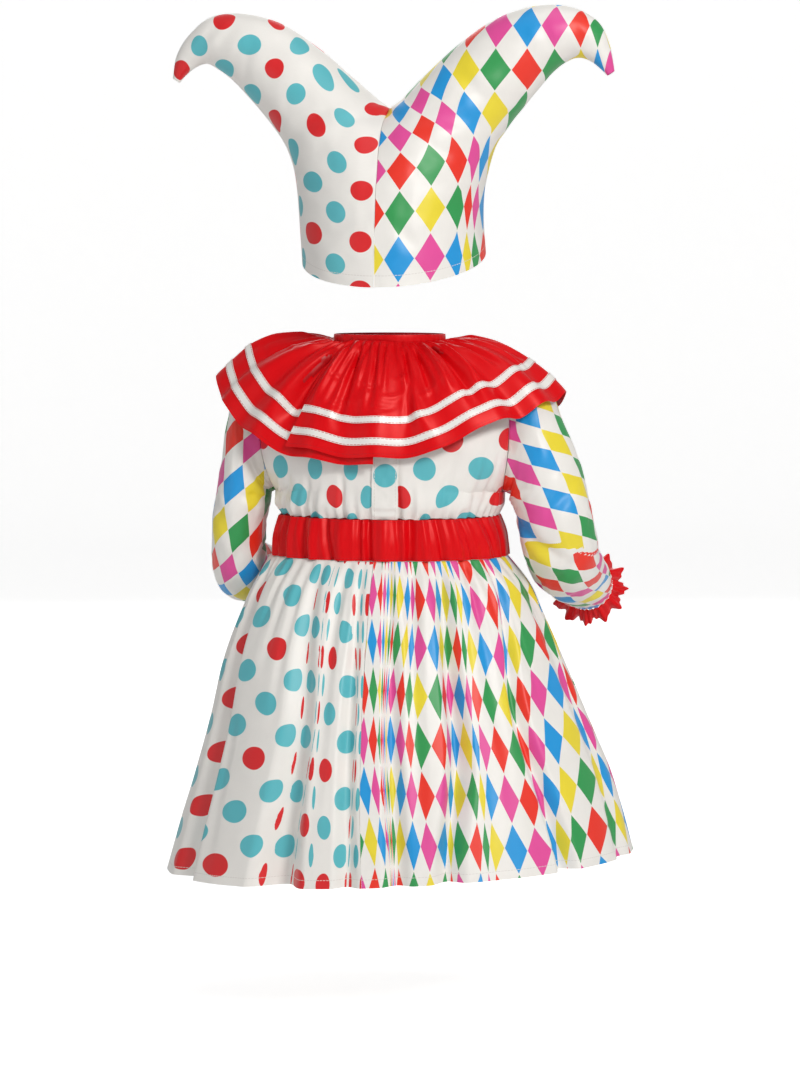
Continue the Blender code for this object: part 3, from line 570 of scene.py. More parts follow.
# Where the print's columns run down the gathered cloth, at three heights. Number counts half repeats of the
# dots, or whole diamonds. Numbers that jump in a few degrees are cloth hidden inside a fold.
dotCourse = tableOf(
    "top middle hem number",
    (-3.0, -3.0, -3.3, 14.4),
    (2.2, -0.7, -1.5, 14.0),
    (3.1, 0.8, 0.8, 13.0),
    (4.1, 1.9, 2.6, 12.0),
    (8.7, 2.7, 3.8, 9.35),
    (12.1, 5.6, 4.8, 9.0),
    (14.3, 11.6, 8.5, 8.0),
    (16.1, 14.2, 11.6, 7.4),
    (16.8, 14.6, 13.1, 6.5),
    (18.1, 15.0, 15.7, 6.0),
    (18.9, 15.4, 20.0, 5.6),
    (19.4, 16.0, 21.6, 3.5),
    (22.0, 20.6, 24.7, 3.0),
    (25.0, 22.7, 26.9, 2.6),
    (25.6, 23.4, 28.2, 1.6),
    (27.1, 25.5, 31.3, 1.0),
    (34.7, 35.1, 43.0, 0.0),
    (50.5, 49.0, 58.5, -1.0),
    (62.0, 61.0, 63.5, -2.0),
    (70.0, 72.5, 77.0, -3.0),
    (80.0, 84.0, 89.0, -4.0),
    (90.0, 94.0, 97.0, -5.0),
    (105.0, 104.0, 103.0, -6.2),
    (114.0, 112.0, 111.0, -7.6),
    (126.0, 124.0, 123.0, -9.6),
    (138.0, 136.0, 135.0, -11.6),
    (149.5, 148.0, 147.0, -13.4),
    (159.0, 157.5, 156.5, -15.0),
    (168.0, 167.0, 166.0, -16.6),
    (180.0, 180.0, 180.0, -18.2),
    (190.0, 190.0, 190.0, -19.6),
)
diamondCourse = tableOf(
    "top middle hem number",
    (-190.0, -190.0, -190.0, 33.4),
    (-180.0, -180.0, -180.0, 31.8),
    (-168.0, -167.0, -166.0, 29.8),
    (-159.0, -157.5, -156.5, 28.2),
    (-149.0, -147.0, -146.0, 26.0),
    (-138.0, -136.0, -135.0, 24.4),
    (-126.0, -124.0, -123.0, 21.8),
    (-114.0, -112.0, -111.0, 19.6),
    (-104.0, -103.0, -102.0, 17.4),
    (-100.0, -94.0, -93.5, 15.0),
    (-92.0, -84.0, -85.3, 14.0),
    (-92.0, -82.0, -79.5, 13.0),
    (-80.0, -69.5, -66.0, 12.0),
    (-65.7, -58.0, -57.4, 11.0),
    (-60.1, -51.3, -54.8, 10.0),
    (-57.0, -48.8, -53.0, 9.0),
    (-53.0, -44.4, -44.6, 8.0),
    (-44.0, -38.4, -38.2, 7.0),
    (-38.3, -33.6, -32.3, 6.0),
    (-33.6, -29.6, -28.6, 4.0),
    (-31.0, -26.8, -23.4, 3.0),
    (-24.5, -22.2, -20.8, 1.0),
    (-18.6, -15.4, -16.6, 0.0),
    (-15.2, -10.5, -9.2, -2.0),
    (-10.5, -6.6, -8.1, -3.3),
    (-3.4, -4.6, -7.5, -8.2),
    (0.0, -2.9, -6.6, -9.0),
    (4.0, -0.1, -4.2, -10.0),
    (8.0, 4.0, -0.5, -11.0),
)
# How far above the hem the lowest whole diamonds have their middles.
diamondAboveHem = tableOf(
    "angle rise",
    (-270, 17), (-180, 32), (-120, 30), (-90, 27), (-70, 29), (-58, 25), (-50, 20), (-45, 19),
    (-38, 24), (-30, 28), (-15, 32), (-4, 38), (0, 38),
)
# The same for the lowest row of dots.
dotAboveHem = tableOf(
    "angle rise",
    (-10, 3), (8, 3), (12, 4), (22, 8), (29, 10), (40, 15), (48, 17), (60, 15), (90, 14),
)


def downTheSkirt(t, top, middle, hem):
    # a value that passes through its three named heights
    return np.where(t < 0.5, top + (middle - top) * ease(2 * t), middle + (hem - middle) * ease(2 * t - 1))


def skirtOval(angle, t):
    # the skirt without folds: an uneven oval at each height
    around = np.radians(angle)
    sideways, backwards = np.sin(around), np.cos(around)
    reachX = np.where(sideways > 0, curveAt(skirtSections, "left", t), curveAt(skirtSections, "right", t))
    reachY = np.where(backwards > 0, curveAt(skirtSections, "back", t), curveAt(skirtSections, "front", t))
    x = reachX * sideways
    z = curveAt(skirtSections, "z", t) - skirtSettings["hemSlope"] * x * t**2
    away = unitOf(pointsOf(sideways / reachX, backwards / reachY, 0.0 * reachX))
    return pointsOf(x, skirtSettings["middleY"] + reachY * backwards, z), away


def skirtSurface(angle, t):
    # the oval, pushed in by each fold and crease and by the small gathers under the waistband
    s = skirtSettings
    oval, away = skirtOval(angle, t)
    push = np.zeros(np.broadcast(angle, t).shape)
    starting = ease(t / s["foldsStart"])
    for top, middle, hem, widthTop, widthHem, depthTop, depthMiddle, depthHem in zip(*skirtFolds.values()):
        width = widthTop + (widthHem - widthTop) * t
        depth = downTheSkirt(t, depthTop, depthMiddle, depthHem) * starting
        push += depth * bell(turnBetween(angle, downTheSkirt(t, top, middle, hem)), width)
    press = bell(turnBetween(angle, s["pressAngle"]), s["pressHalfWidth"])
    push += s["pressDepth"] * press * starting * (1 - ease(t / s["pressReach"]))
    for top, hem, start, end, halfWidth, depth in zip(*skirtCreases.values()):
        fade = ease((t - start) / 0.12) * ease((end - t) / 0.25)
        push += depth * fade * bell(turnBetween(angle, top + (hem - top) * t), halfWidth)
    phase = s["gathers"] * np.radians(angle) + 1.4 * np.sin(4 * np.radians(angle) + 1.0)
    uneven = softNoise(phase / fullTurn, 0.0 * t, 3)
    reach = s["gatherReach"] * (0.75 + 0.45 * uneven)
    fade = (0.45 + 0.55 * ease(t / 0.03)) * (1 - ease(t / reach))
    push += s["gatherDepth"] * (1 + 0.4 * uneven) * fade * (0.5 + 0.5 * np.cos(phase))
    push += 0.5 * softNoise(angle / 5.0, t * 7.0, 5) * starting
    return oval - push[..., None] * away


def courseNumber(course, angle, t):
    # the print's column number at each angle, read between the course's lines at that height
    lines = [downTheSkirt(t, *line) for line in zip(course["top"], course["middle"], course["hem"])]
    numbers = course["number"]
    found = np.full(angle.shape, numbers[0])
    for k in range(len(lines) - 1):
        f = np.clip((angle - lines[k]) / (lines[k + 1] - lines[k]), 0, 1)
        found += (numbers[k + 1] - numbers[k]) * f
    return found


def makeSkirtPanel(name, first, last, course, cloth):
    s = skirtSettings
    t = np.linspace(0, 1, s["rows"]) ** 1.12
    seam = curveAt(tableOf("t angle", (0.0, 0.5), (0.3, 0.8), (0.65, 0.3), (1.0, -1.0)), "angle", t)
    first = seam if first is None else first + 0 * t
    last = seam if last is None else last + 0 * t
    trim = np.degrees(seamGap / 2 / curveAt(skirtSections, "back", t))
    across = np.linspace(0, 1, s["columns"])
    angle = (first + trim)[:, None] + (last - first - 2 * trim)[:, None] * across
    heights = np.broadcast_to(t[:, None], angle.shape)
    outer = skirtSurface(angle, heights)
    oval, away = skirtOval(angle, heights)
    inner = outer - clothThickness * gridNormals(outer, away)
    inner[0, :, 2] = outer[0, :, 2]
    fallen = lengthsAlong(oval, 0)
    aboveHem = fallen[-1] - fallen
    signed = np.where(angle > 0, angle - 360.0, angle) if last[0] > 200 else angle
    if course is dotCourse:
        u = courseNumber(course, signed, heights) * dotSettings["step"]
        v = (aboveHem - curveAt(dotAboveHem, "rise", signed)) * mm
    else:
        u = courseNumber(course, signed, heights) * diamondSettings["width"]
        v = (aboveHem - curveAt(diamondAboveHem, "rise", signed)) * mm
    print_ = np.stack([u, v], axis=-1)
    seams = np.stack([lengthsAlong(outer, 1) * mm, (aboveHem - s["stitchAboveHem"]) * mm], axis=-1)
    piece = clothPiece(name, outer, inner, print_, seams, cloth)
    return dressed(piece, [name.replace("cloth_", "")])


for name, first, last, flat, area in (
    ("back_left", None, 90.0, (0.36, 0.275), 0.084),
    ("front_left", 90.0, 180.0, (0.36, 0.275), 0.084),
    ("front_right", 180.0, 270.0, (0.36, 0.275), 0.084),
    ("back_right", -90.0, None, (0.38, 0.275), 0.088),
):
    if name.endswith("left"):
        makeSkirtPanel("cloth_skirt_" + name, first, last, dotCourse, dots)
    else:
        makeSkirtPanel("cloth_skirt_" + name, first, last, diamondCourse, diamonds)


# Collar: a long red ruffle gathered on a neckband, lapped right over left at the back, with two white ribbons

collarSettings = {
    "rows": 62,
    "columns": 520,
    "neckHalfWidth": 47.5,
    "neckHalfDepth": 42.5,
    "neckZ": -7.0,
    "solidCloth": 1.3,
    "rootLift": 2.0,
    "halfWidth": 149.0,
    "backDepth": 86.0,
    "frontDepth": 84.0,
    "waves": 16,
    "waveDepth": 3.2,
    "gathers": 46,
    "gatherDepth": 1.5,
    "creaseScale": 1.5,
    "flapStart": 342.0,
    "flapRun": 22.0,
    "flapEnd": 391.0,
    "flapLift": 3.6,
    "upperRibbon": (0.682, 0.738),
    "lowerRibbon": (0.854, 0.910),
    "ribbonThickness": 0.5,
    "bandHeight": 8.0,
    "bandStart": 4.0,
    "bandEnd": 393.0,
    "bandTuck": 2.2,
}
collarEdge = tableOf(
    "angle z",
    (-10, -107), (0, -106), (20, -102), (37, -93), (50, -79), (63, -62), (90, -38), (117, -60), (140, -80),
    (160, -91), (180, -95), (200, -91), (220, -80), (243, -64), (270, -50), (297, -58),
    (310, -65), (323, -75),
    (340, -94), (360, -101), (392, -91),
)
collarFolds = tableOf(
    "angle halfWidth rise",
    (328, 10, 6.5), (306, 8, -3.0), (46, 11, 4.0), (74, 9, -3.0), (205, 12, 5.0), (150, 11, 4.0),
    (250, 9, -3.0),
)
# Creases that fan out from the neckband: from one angle at the band to another at the free edge.
collarCreases = tableOf(
    "root edge start end halfWidth rise",
    (16, 15, 0.05, 0.85, 5.0, -3.6),
    (27, 28, 0.02, 0.80, 4.5, 3.2),
    (40, 38, 0.10, 0.95, 6.5, -6.5),
    (58, 60, 0.10, 0.90, 9.0, 3.2),
    (72, 78, 0.05, 0.70, 6.0, -2.6),
    (84, 92, 0.10, 0.95, 6.0, 2.2),
    (98, 101, 0.05, 0.85, 6.0, -2.6),
    (113, 112, 0.08, 0.95, 7.0, 2.4),
    (126, 129, 0.05, 0.75, 5.5, -2.8),
    (141, 141, 0.10, 0.95, 6.0, -2.2),
    (163, 166, 0.06, 0.90, 6.0, -3.2),
    (178, 177, 0.04, 0.70, 5.0, 2.2),
    (191, 190, 0.06, 0.95, 6.0, -1.2),
    (219, 223, 0.08, 0.90, 6.0, -2.8),
    (233, 236, 0.05, 0.80, 6.0, 2.4),
    (262, 262, 0.05, 0.90, 6.0, 2.4),
    (276, 273, 0.06, 0.80, 5.5, -2.4),
    (285, 283, 0.04, 0.85, 4.5, 2.2),
    (296, 298, 0.05, 0.75, 5.0, -3.0),
    (307, 318, 0.03, 0.78, 4.5, 2.6),
    (315, 322, 0.04, 0.90, 5.0, -4.2),
    (323, 330, 0.02, 0.74, 3.6, 2.4),
    (331, 336, 0.03, 0.70, 4.0, -3.0),
    (339, 349, 0.03, 0.88, 4.0, -2.2),
    (346, 341, 0.25, 0.98, 5.0, 1.8),
    (354, 358, 0.04, 0.55, 3.6, 1.8),
    (361, 364, 0.10, 0.80, 4.0, -1.8),
    (369, 373, 0.05, 0.60, 3.8, 1.6),
    (380, 381, 0.08, 0.85, 4.2, -1.8),
)
# Short wrinkles across the lapped end, as places and sizes in angle and share of the depth.
collarWrinkles = tableOf(
    "angle share turn length width rise",
    (352, 0.52, 14, 9.0, 0.035, 1.1),
    (364, 0.44, -10, 8.0, 0.035, -1.2),
    (372, 0.56, 12, 9.0, 0.04, 1.1),
    (382, 0.40, -14, 7.0, 0.035, 1.0),
    (358, 0.62, -8, 9.0, 0.035, -1.1),
    (379, 0.63, 8, 8.0, 0.04, 1.0),
    (346, 0.36, 16, 7.0, 0.04, 1.0),
    (335, 0.55, 20, 8.0, 0.04, 1.1),
    (66, 0.36, 18, 8.0, 0.05, 1.2),
    (80, 0.60, -12, 8.0, 0.05, -1.1),
)


def collarSurface(angle, v):
    # v is 0 at the neckband and 1 at the free edge. A straight run between the two ovals is puffed up by a
    # half sine, waved by a cosine that grows with v, and creased by bells along the table's lines.
    s = collarSettings
    around = np.radians(angle)
    sideways, backwards = np.sin(around), np.cos(around)
    rootX = (s["neckHalfWidth"] + s["solidCloth"] + seamGap) * sideways
    rootY = 2.0 + (s["neckHalfDepth"] + s["solidCloth"] + seamGap) * backwards
    rootZ = s["neckZ"] + s["rootLift"]
    reachY = np.where(backwards > 0, s["backDepth"], s["frontDepth"])
    puff = np.sin(np.pi * np.clip(v, 0, 1)) ** 0.8
    x = rootX + (s["halfWidth"] * sideways - rootX) * v
    y = rootY + (reachY * backwards - rootY) * v + 7.0 * backwards * puff
    z = rootZ + (curveAt(collarEdge, "z", angle) - rootZ) * v + (4.0 + 13.0 * sideways**2) * puff
    lift = s["waveDepth"] * v * np.cos(s["waves"] * around + 0.8 * np.sin(2 * around))
    for at, halfWidth, rise in zip(*collarFolds.values()):
        lift = lift + rise * ease(1.6 * v) * bell(turnBetween(angle, at), halfWidth)
    for root, edge, start, end, halfWidth, rise in zip(*collarCreases.values()):
        fade = ease((v - start) / 0.15) * ease((end - v) / 0.30)
        line = root + (edge - root) * v
        near = turnBetween(angle, line) if edge < 331 else angle - line
        lift = lift + s["creaseScale"] * rise * fade * bell(near, halfWidth * (0.55 + 0.45 * v))
    for at, share, turn, length, width, rise in zip(*collarWrinkles.values()):
        run, cross = angle - at, (v - share) * 60.0
        bend = np.radians(turn)
        along = run * np.cos(bend) + cross * np.sin(bend) * 0.6
        off = (cross * np.cos(bend) - run * np.sin(bend) * 0.6) / 60.0 + 0.0006 * along**2
        lift = lift + rise * bell(along, length) * bell(off, width)
    phase = s["gathers"] * around + 1.6 * np.sin(5 * around + 0.6)
    uneven = softNoise(phase / fullTurn, 0.0 * v, 11)
    reach = 0.34 + 0.16 * uneven
    fade = ease(v / 0.05) * (1 - ease(v / reach))
    lift = lift + s["gatherDepth"] * (1 + 0.35 * uneven) * np.cos(phase) * fade
    lift = lift + 0.55 * softNoise(angle / 4.0, v * 6.0, 12) * ease(v / 0.2) * ease((1.1 - v) / 0.3)
    lift = lift + s["flapLift"] * ease((angle - s["flapStart"]) / s["flapRun"])
    away = unitOf(pointsOf(0.4 * sideways, 0.93 * backwards, 0.37 + 0.55 * sideways**2))
    return pointsOf(x, y, z) + lift[..., None] * away


def collarPart(v, columns):
    # points of the ruffle at the given shares of its depth, their normals, and the print's coordinates
    angle = np.linspace(0.0, collarSettings["flapEnd"], columns)
    v, angle = np.meshgrid(v, angle, indexing="ij")
    outer = collarSurface(angle, v)
    away = normalsOf(collarSurface, angle, v, (0.0, 0.0, -140.0))
    print_ = np.stack([angle * 0.0021, v * 0.11], axis=-1)
    return outer, away, print_


def makeCollar():
    s = collarSettings
    v = np.linspace(0, 1, s["rows"])
    outer, away, print_ = collarPart(v, s["columns"])
    depth = lengthsAlong(outer, 0)
    seams = np.stack([print_[..., 0], (depth[-1] - depth - 3.0) * mm], axis=-1)
    piece = clothPiece("cloth_collar_ruffle", outer, outer - clothThickness * away, print_, seams, redCloth)
    dressed(piece, ["collar_ruffle"])
    for name, (first, last) in (("upper", s["upperRibbon"]), ("lower", s["lowerRibbon"])):
        outer, away, print_ = collarPart(np.linspace(first, last, 7), s["columns"])
        under = outer + seamGap * away
        depth = lengthsAlong(outer, 0)
        edge = np.minimum(depth, depth[-1] - depth) - 0.7
        seams = np.stack([print_[..., 0], edge * mm], axis=-1)
        over = under + s["ribbonThickness"] * away
        piece = clothPiece("cloth_ribbon_" + name, over, under, print_, seams, ribbonCloth)
        dressed(piece, ["collar_ribbon_" + name])


def makeNeckband():
    # the band between the gathers and the neck's edge: an oval drawn in where it passes under its own end
    s = collarSettings
    angle = np.linspace(s["bandStart"], s["bandEnd"], 300)
    up = np.linspace(0, 1, 9)
    up, angle = np.meshgrid(up, angle, indexing="ij")
    around = np.radians(angle)
    tuck = -s["bandTuck"] * (1 - ease((angle - s["bandEnd"] + 360.0) / 18.0))
    pucker = 0.25 * np.cos(s["gathers"] * around) * (1 - up) - 0.35 * (2 * up - 1) ** 4
    reachX, reachY = s["neckHalfWidth"] + tuck + pucker, s["neckHalfDepth"] + tuck + pucker
    z = s["neckZ"] + seamGap / 2 + (s["bandHeight"] - seamGap / 2) * up
    outer = pointsOf(reachX * np.sin(around), 2.0 + reachY * np.cos(around), z)
    away = unitOf(pointsOf(np.sin(around), np.cos(around), 0.0))
    print_ = np.stack([around * 0.045, z * mm], axis=-1)
    seams = np.stack([around * 0.045, ((1 - up) * s["bandHeight"] - 1.6) * mm], axis=-1)
    piece = clothPiece("cloth_neckband", outer, outer - 0.9 * away, print_, seams, redCloth)
    dressed(piece, ["neckband"])


makeCollar()
makeNeckband()


# Bodice: a front, two backs lapped at the centre by a placket, gathered along the waist

bodiceSettings = {
    "rows": 84,
    "columns": 110,
    "neckHalfWidth": 47.5,
    "neckHalfDepth": 42.5,
    "neckZ": -7.0,
    "shoulderX": 97.0,
    "shoulderZ": -22.0,
    "armpitZ": -131.5,
    "armpitHeight": 0.22,
    "armholeHalfDepth": 32.0,
    "armholeBow": 9.0,
    "topStart": 0.45,
    "middleY": 2.0,
    "gathers": 30,  # on each face, above the waistband
    "gatherDepth": 1.5,
    "gatherReach": 0.26,
    "placketLeft": 3.0,
    "placketRight": -19.0,
    "placketTop": 0.96,
    "placketMiddle": -8.0,
}
bodiceSections = tableOf(
    "height middleZ halfWidth back front",
    (0.00, -151.7, 93.0, 73.0, -73.0),
    (0.11, -141.0, 97.5, 76.0, -76.0),
    (0.22, -128.0, 98.0, 76.0, -76.0),
    (0.54, -80.0, 106.0, 70.0, -70.0),
    (0.78, -40.0, 104.0, 60.0, -62.0),
    (1.00, -7.0, 97.0, 45.0, -41.0),
)
# The dots' column numbers along x on the back, high up and at the waist; gathers pull them together.
backCourse = tableOf(
    "x high low",
    (-110, 14.2, 15.2),
    (-99, 13.6, 14.4),
    (-85, 13.0, 13.6),
    (-66, 12.2, 12.7),
    (-53, 11.6, 12.1),
    (-41, 11.0, 11.0),
    (-27, 10.4, 10.2),
    (-19, 9.9, 9.8),
    (3, 8.3, 8.3),
    (21, 7.0, 7.0),
    (34, 6.2, 6.0),
    (53, 5.0, 5.0),
    (69, 4.0, 4.0),
    (85, 3.0, 3.1),
    (99, 2.2, 2.6),
    (110, 1.6, 2.3),
)
# Creases from one place across at the waist to another higher up; across is -1 at the right edge and 1 at the
# left.
bodiceCreases = tableOf(
    "low high start end halfWidth rise",
    (0.84, 0.62, 0.02, 0.45, 0.050, 2.2),
    (0.72, 0.52, 0.00, 0.50, 0.045, -2.2),
    (0.60, 0.46, 0.00, 0.38, 0.040, 2.0),
    (0.46, 0.40, 0.00, 0.45, 0.040, -2.0),
    (0.34, 0.31, 0.00, 0.35, 0.040, 2.0),
    (0.20, 0.19, 0.00, 0.45, 0.030, -2.4),
    (-0.13, -0.11, 0.00, 0.42, 0.030, -2.2),
    (-0.24, -0.22, 0.00, 0.34, 0.035, 2.0),
    (-0.35, -0.44, 0.00, 0.55, 0.045, -1.6),
    (-0.50, -0.63, 0.03, 0.60, 0.055, 1.8),
    (-0.64, -0.80, 0.05, 0.60, 0.050, -1.6),
    (-0.82, -0.86, 0.04, 0.40, 0.040, 1.5),
)


def armholeEdge(side, angle):
    # the armhole's edge: angle 0 at the shoulder, 90 at the back, 180 at the armpit
    s = bodiceSettings
    around = np.radians(angle)
    middle, reach = (s["shoulderZ"] + s["armpitZ"]) / 2, (s["shoulderZ"] - s["armpitZ"]) / 2
    x = s["shoulderX"] + s["armholeBow"] * np.sin(around) ** 2
    y = s["middleY"] + s["armholeHalfDepth"] * np.sin(around)
    return pointsOf(side * x, y, middle + reach * np.cos(around))


def bodiceBody(face, side, across, height):
    # below the neckline: across is 0 at the centre line and 1 at the side or the armhole
    s = bodiceSettings
    upArmhole = np.clip((height - s["armpitHeight"]) / (1 - s["armpitHeight"]), 0, 1)
    edge = armholeEdge(side, face * 180 * (1 - upArmhole))
    below = height < s["armpitHeight"]
    middleZ = curveAt(bodiceSections, "middleZ", height)
    edgeX = np.where(below, side * curveAt(bodiceSections, "halfWidth", height), edge[..., 0])
    sink = s["armpitZ"] - curveAt(bodiceSections, "middleZ", np.array(s["armpitHeight"]))
    edgeZ = np.where(below, middleZ + sink * height / s["armpitHeight"], edge[..., 2])
    middleY = curveAt(bodiceSections, "back" if face > 0 else "front", height)
    turn = across * np.pi / 2
    y = edge[..., 1] + (middleY - edge[..., 1]) * np.cos(turn)
    return pointsOf(edgeX * np.sin(turn), y, middleZ + (edgeZ - middleZ) * np.sin(turn) ** 2)


def bodiceTop(face, side, across):
    # the neckline, and then the shoulder seam
    s = bodiceSettings
    turn = np.clip(across / 0.5, 0, 1) * np.pi / 2
    along = np.clip((across - 0.5) / 0.5, 0, 1)
    x = s["neckHalfWidth"] * np.sin(turn) + (s["shoulderX"] - s["neckHalfWidth"]) * along
    z = s["neckZ"] - seamGap / 2 + (s["shoulderZ"] - s["neckZ"] + seamGap / 2) * along
    return pointsOf(side * x, s["middleY"] + face * s["neckHalfDepth"] * np.cos(turn), z)


def bodiceHalf(face, side, across, height):
    start = bodiceSettings["topStart"]
    body = bodiceBody(face, side, across, height)
    top = bodiceTop(face, side, across) - bodiceBody(face, side, across, np.ones_like(height))
    return body + ease((height - start) / (1 - start))[..., None] * top


def bodicePlain(face, across, height):
    left = bodiceHalf(face, 1, np.abs(across), height)
    right = bodiceHalf(face, -1, np.abs(across), height)
    return np.where((across >= 0)[..., None], left, right)


def bodiceSurface(face, across, height, calm=0.0):
    # the plain bodice, with gathers above the waistband and creases pushed in and out; calm leaves them out
    s = bodiceSettings
    plain = bodicePlain(face, across, height)
    away = normalsOf(lambda u, v: bodicePlain(face, u, v), across, height, (0.0, 0.0, -70.0))
    phase = s["gathers"] * np.pi * across + 1.3 * np.sin(5 * across + 0.7)
    uneven = softNoise(phase / fullTurn + 40.0, 0.0 * height, 21)
    reach = s["gatherReach"] * (0.8 + 0.4 * uneven)
    atSides = ease((1 - np.abs(across)) / 0.06)
    push = s["gatherDepth"] * (1 + 0.4 * uneven) * (1 - ease(height / reach)) * (0.5 + 0.5 * np.cos(phase))
    for low, high, start, end, halfWidth, rise in zip(*bodiceCreases.values()):
        fade = ease((height - start) / 0.10 + (start <= 0)) * ease((end - height) / 0.25)
        push -= rise * fade * bell(across - low - (high - low) * height / 0.5, halfWidth)
    push += 0.5 * softNoise(across * 9.0, height * 9.0, 22)
    return plain - (push * atSides * (1 - calm) * ease((1.0 - height) / 0.05))[..., None] * away, away


def bodicePrint(plain, face):
    # the dots' column and row: columns run down the cloth as the course says, closer together at the waist
    x, z = plain[..., 0], plain[..., 2]
    low = ease((-118.0 - z) / 32.0)
    if face > 0:
        high = curveAt(backCourse, "high", x)
        number = high + (curveAt(backCourse, "low", x) - high) * low
    else:
        number = curveAt(backCourse, "high", -x) + 1.0
    return number, 1.0 + (-109.5 - z) / 23.4


def makeBodicePanel(name, face, first, last):
    s = bodiceSettings
    columns = s["columns"] if first * last == 0 else 2 * s["columns"] - 20
    height = np.linspace(0, 1, s["rows"]) ** 1.15
    height, across = np.meshgrid(height, np.linspace(first, last, columns), indexing="ij")
    outer, away = bodiceSurface(face, across, height)
    outer = outer + pointsOf(0.0, face * seamGap / 2, 0.0)
    inner = outer - clothThickness * gridNormals(outer, away)
    inner[0, :, 2] = outer[0, :, 2]
    keepTo = np.maximum if face > 0 else np.minimum
    inner[..., 1] = keepTo(inner[..., 1], s["middleY"] + face * seamGap / 2)
    if face > 0:
        side = 1 if last > 0 else -1
        keepTo = np.maximum if side > 0 else np.minimum
        for wall in (outer, inner):
            wall[..., 0] = keepTo(wall[..., 0], side * seamGap / 2)
    plain = bodicePlain(face, across, height)
    print_ = np.stack(bodicePrint(plain, face), axis=-1) * dotSettings["step"]
    seams = np.stack([lengthsAlong(plain, 1) * mm, np.full_like(across, 0.05)], axis=-1)
    piece = clothPiece(name, outer, inner, print_, seams, dots)
    node = name.replace("cloth_", "")
    dressed(piece, [node])


def makePlacket():
    s = bodiceSettings
    reach = float(curveAt(bodiceSections, "halfWidth", np.array(0.3)))
    left, right = (np.arcsin(x / reach) / (np.pi / 2) for x in (s["placketLeft"], s["placketRight"]))
    height = np.concatenate([np.linspace(0, 0.9, 70), [0.93, s["placketTop"]]])
    height, across = np.meshgrid(height, np.linspace(right, left, 34), indexing="ij")
    plain, away = bodiceSurface(1, across, height, calm=1.0)
    under = plain + (seamGap * 1.5 + 0.5) * away
    # small cross folds above the waistband, where the strip is pushed together
    z = plain[..., 2]
    fold = bell(z + 141.0, 3.0) * 1.1 + bell(z + 147.5, 2.5) * 1.0 - bell(z + 134.0, 3.4) * 0.4
    fold = fold * ease((across - right) / 0.02) * ease((left - across) / 0.02 + 0.3)
    wander = 0.4 * softNoise(across * 30.0, z / 6.0, 23)
    over = under + (clothThickness + 0.35 + np.maximum(fold + wander, -0.2))[..., None] * away
    over[0, :, 2] = under[0, :, 2] = bodiceSections["middleZ"][0]
    x = lengthsAlong(plain, 1)
    # the strip's own dots: whole ones down its middle, in step with the backs' teal rows
    number = 9.0 + (plain[..., 0] - s["placketMiddle"]) / 23.4
    print_ = np.stack([number, 1.0 + (-115.0 - z) / 23.4], axis=-1) * dotSettings["step"]
    edge = np.minimum(x, x[:, -1:] - x) - 2.2
    seams = np.stack([z * mm, edge * mm], axis=-1)
    piece = clothPiece("cloth_back_placket", over, under, print_, seams, dots)
    dressed(piece, ["back_placket"])


makeBodicePanel("cloth_bodice_front", -1, -1.0, 1.0)
makeBodicePanel("cloth_bodice_back_left", 1, 0.0, 1.0)
makeBodicePanel("cloth_bodice_back_right", 1, -1.0, 0.0)
makePlacket()


# Waistband: a gathered band of red satin in two halves

waistSettings = {
    "rows": 26,
    "columns": 260,
    "topZ": -152.0,
    "bottomZ": -186.0,
    "middleY": 2.0,
    "gathers": 46,
    "gatherDepth": 0.32,
}
waistSections = tableOf(
    "z halfWidth halfDepth",
    (-186.0, 101.0, 79.0),
    (-169.0, 98.0, 77.0),
    (-152.0, 94.0, 74.0),
)
# Upright folds: from one angle at the top to another at the bottom; a rise below 0 is a dark trough.
waistFolds = tableOf(
    "top bottom halfWidth rise",
    (72, 68, 5.0, 1.6),
    (60, 56, 4.2, -2.6),
    (52, 50, 3.6, 2.0),
    (44, 39, 4.0, -3.0),
    (36, 33, 4.0, 1.9),
    (28, 23, 3.6, -3.0),
    (18, 17, 5.0, 1.6),
    (9, 8, 3.2, -2.2),
    (4, 3, 3.0, -3.2),
    (-4, -4, 4.0, 1.8),
    (-11, -12, 2.6, -1.6),
    (-18, -17, 4.0, -3.4),
    (-24, -25, 3.2, 1.8),
    (-32, -34, 3.2, -2.8),
    (-40, -43, 4.0, 1.6),
    (-47, -52, 3.0, -1.6),
    (-56, -63, 4.0, 1.4),
    (-64, -71, 3.4, -1.8),
    (-78, -81, 5.0, -1.4),
    (104, 101, 4.0, -2.4),
    (119, 117, 5.0, 1.8),
    (131, 130, 3.6, -2.8),
    (145, 143, 4.6, 1.8),
    (157, 157, 3.8, -2.8),
    (171, 170, 4.4, 1.8),
    (184, 186, 3.6, -3.0),
    (199, 200, 4.6, 1.6),
    (212, 213, 3.8, -2.6),
    (226, 228, 4.6, 1.8),
    (239, 242, 3.6, -2.8),
    (254, 257, 4.6, 1.6),
)


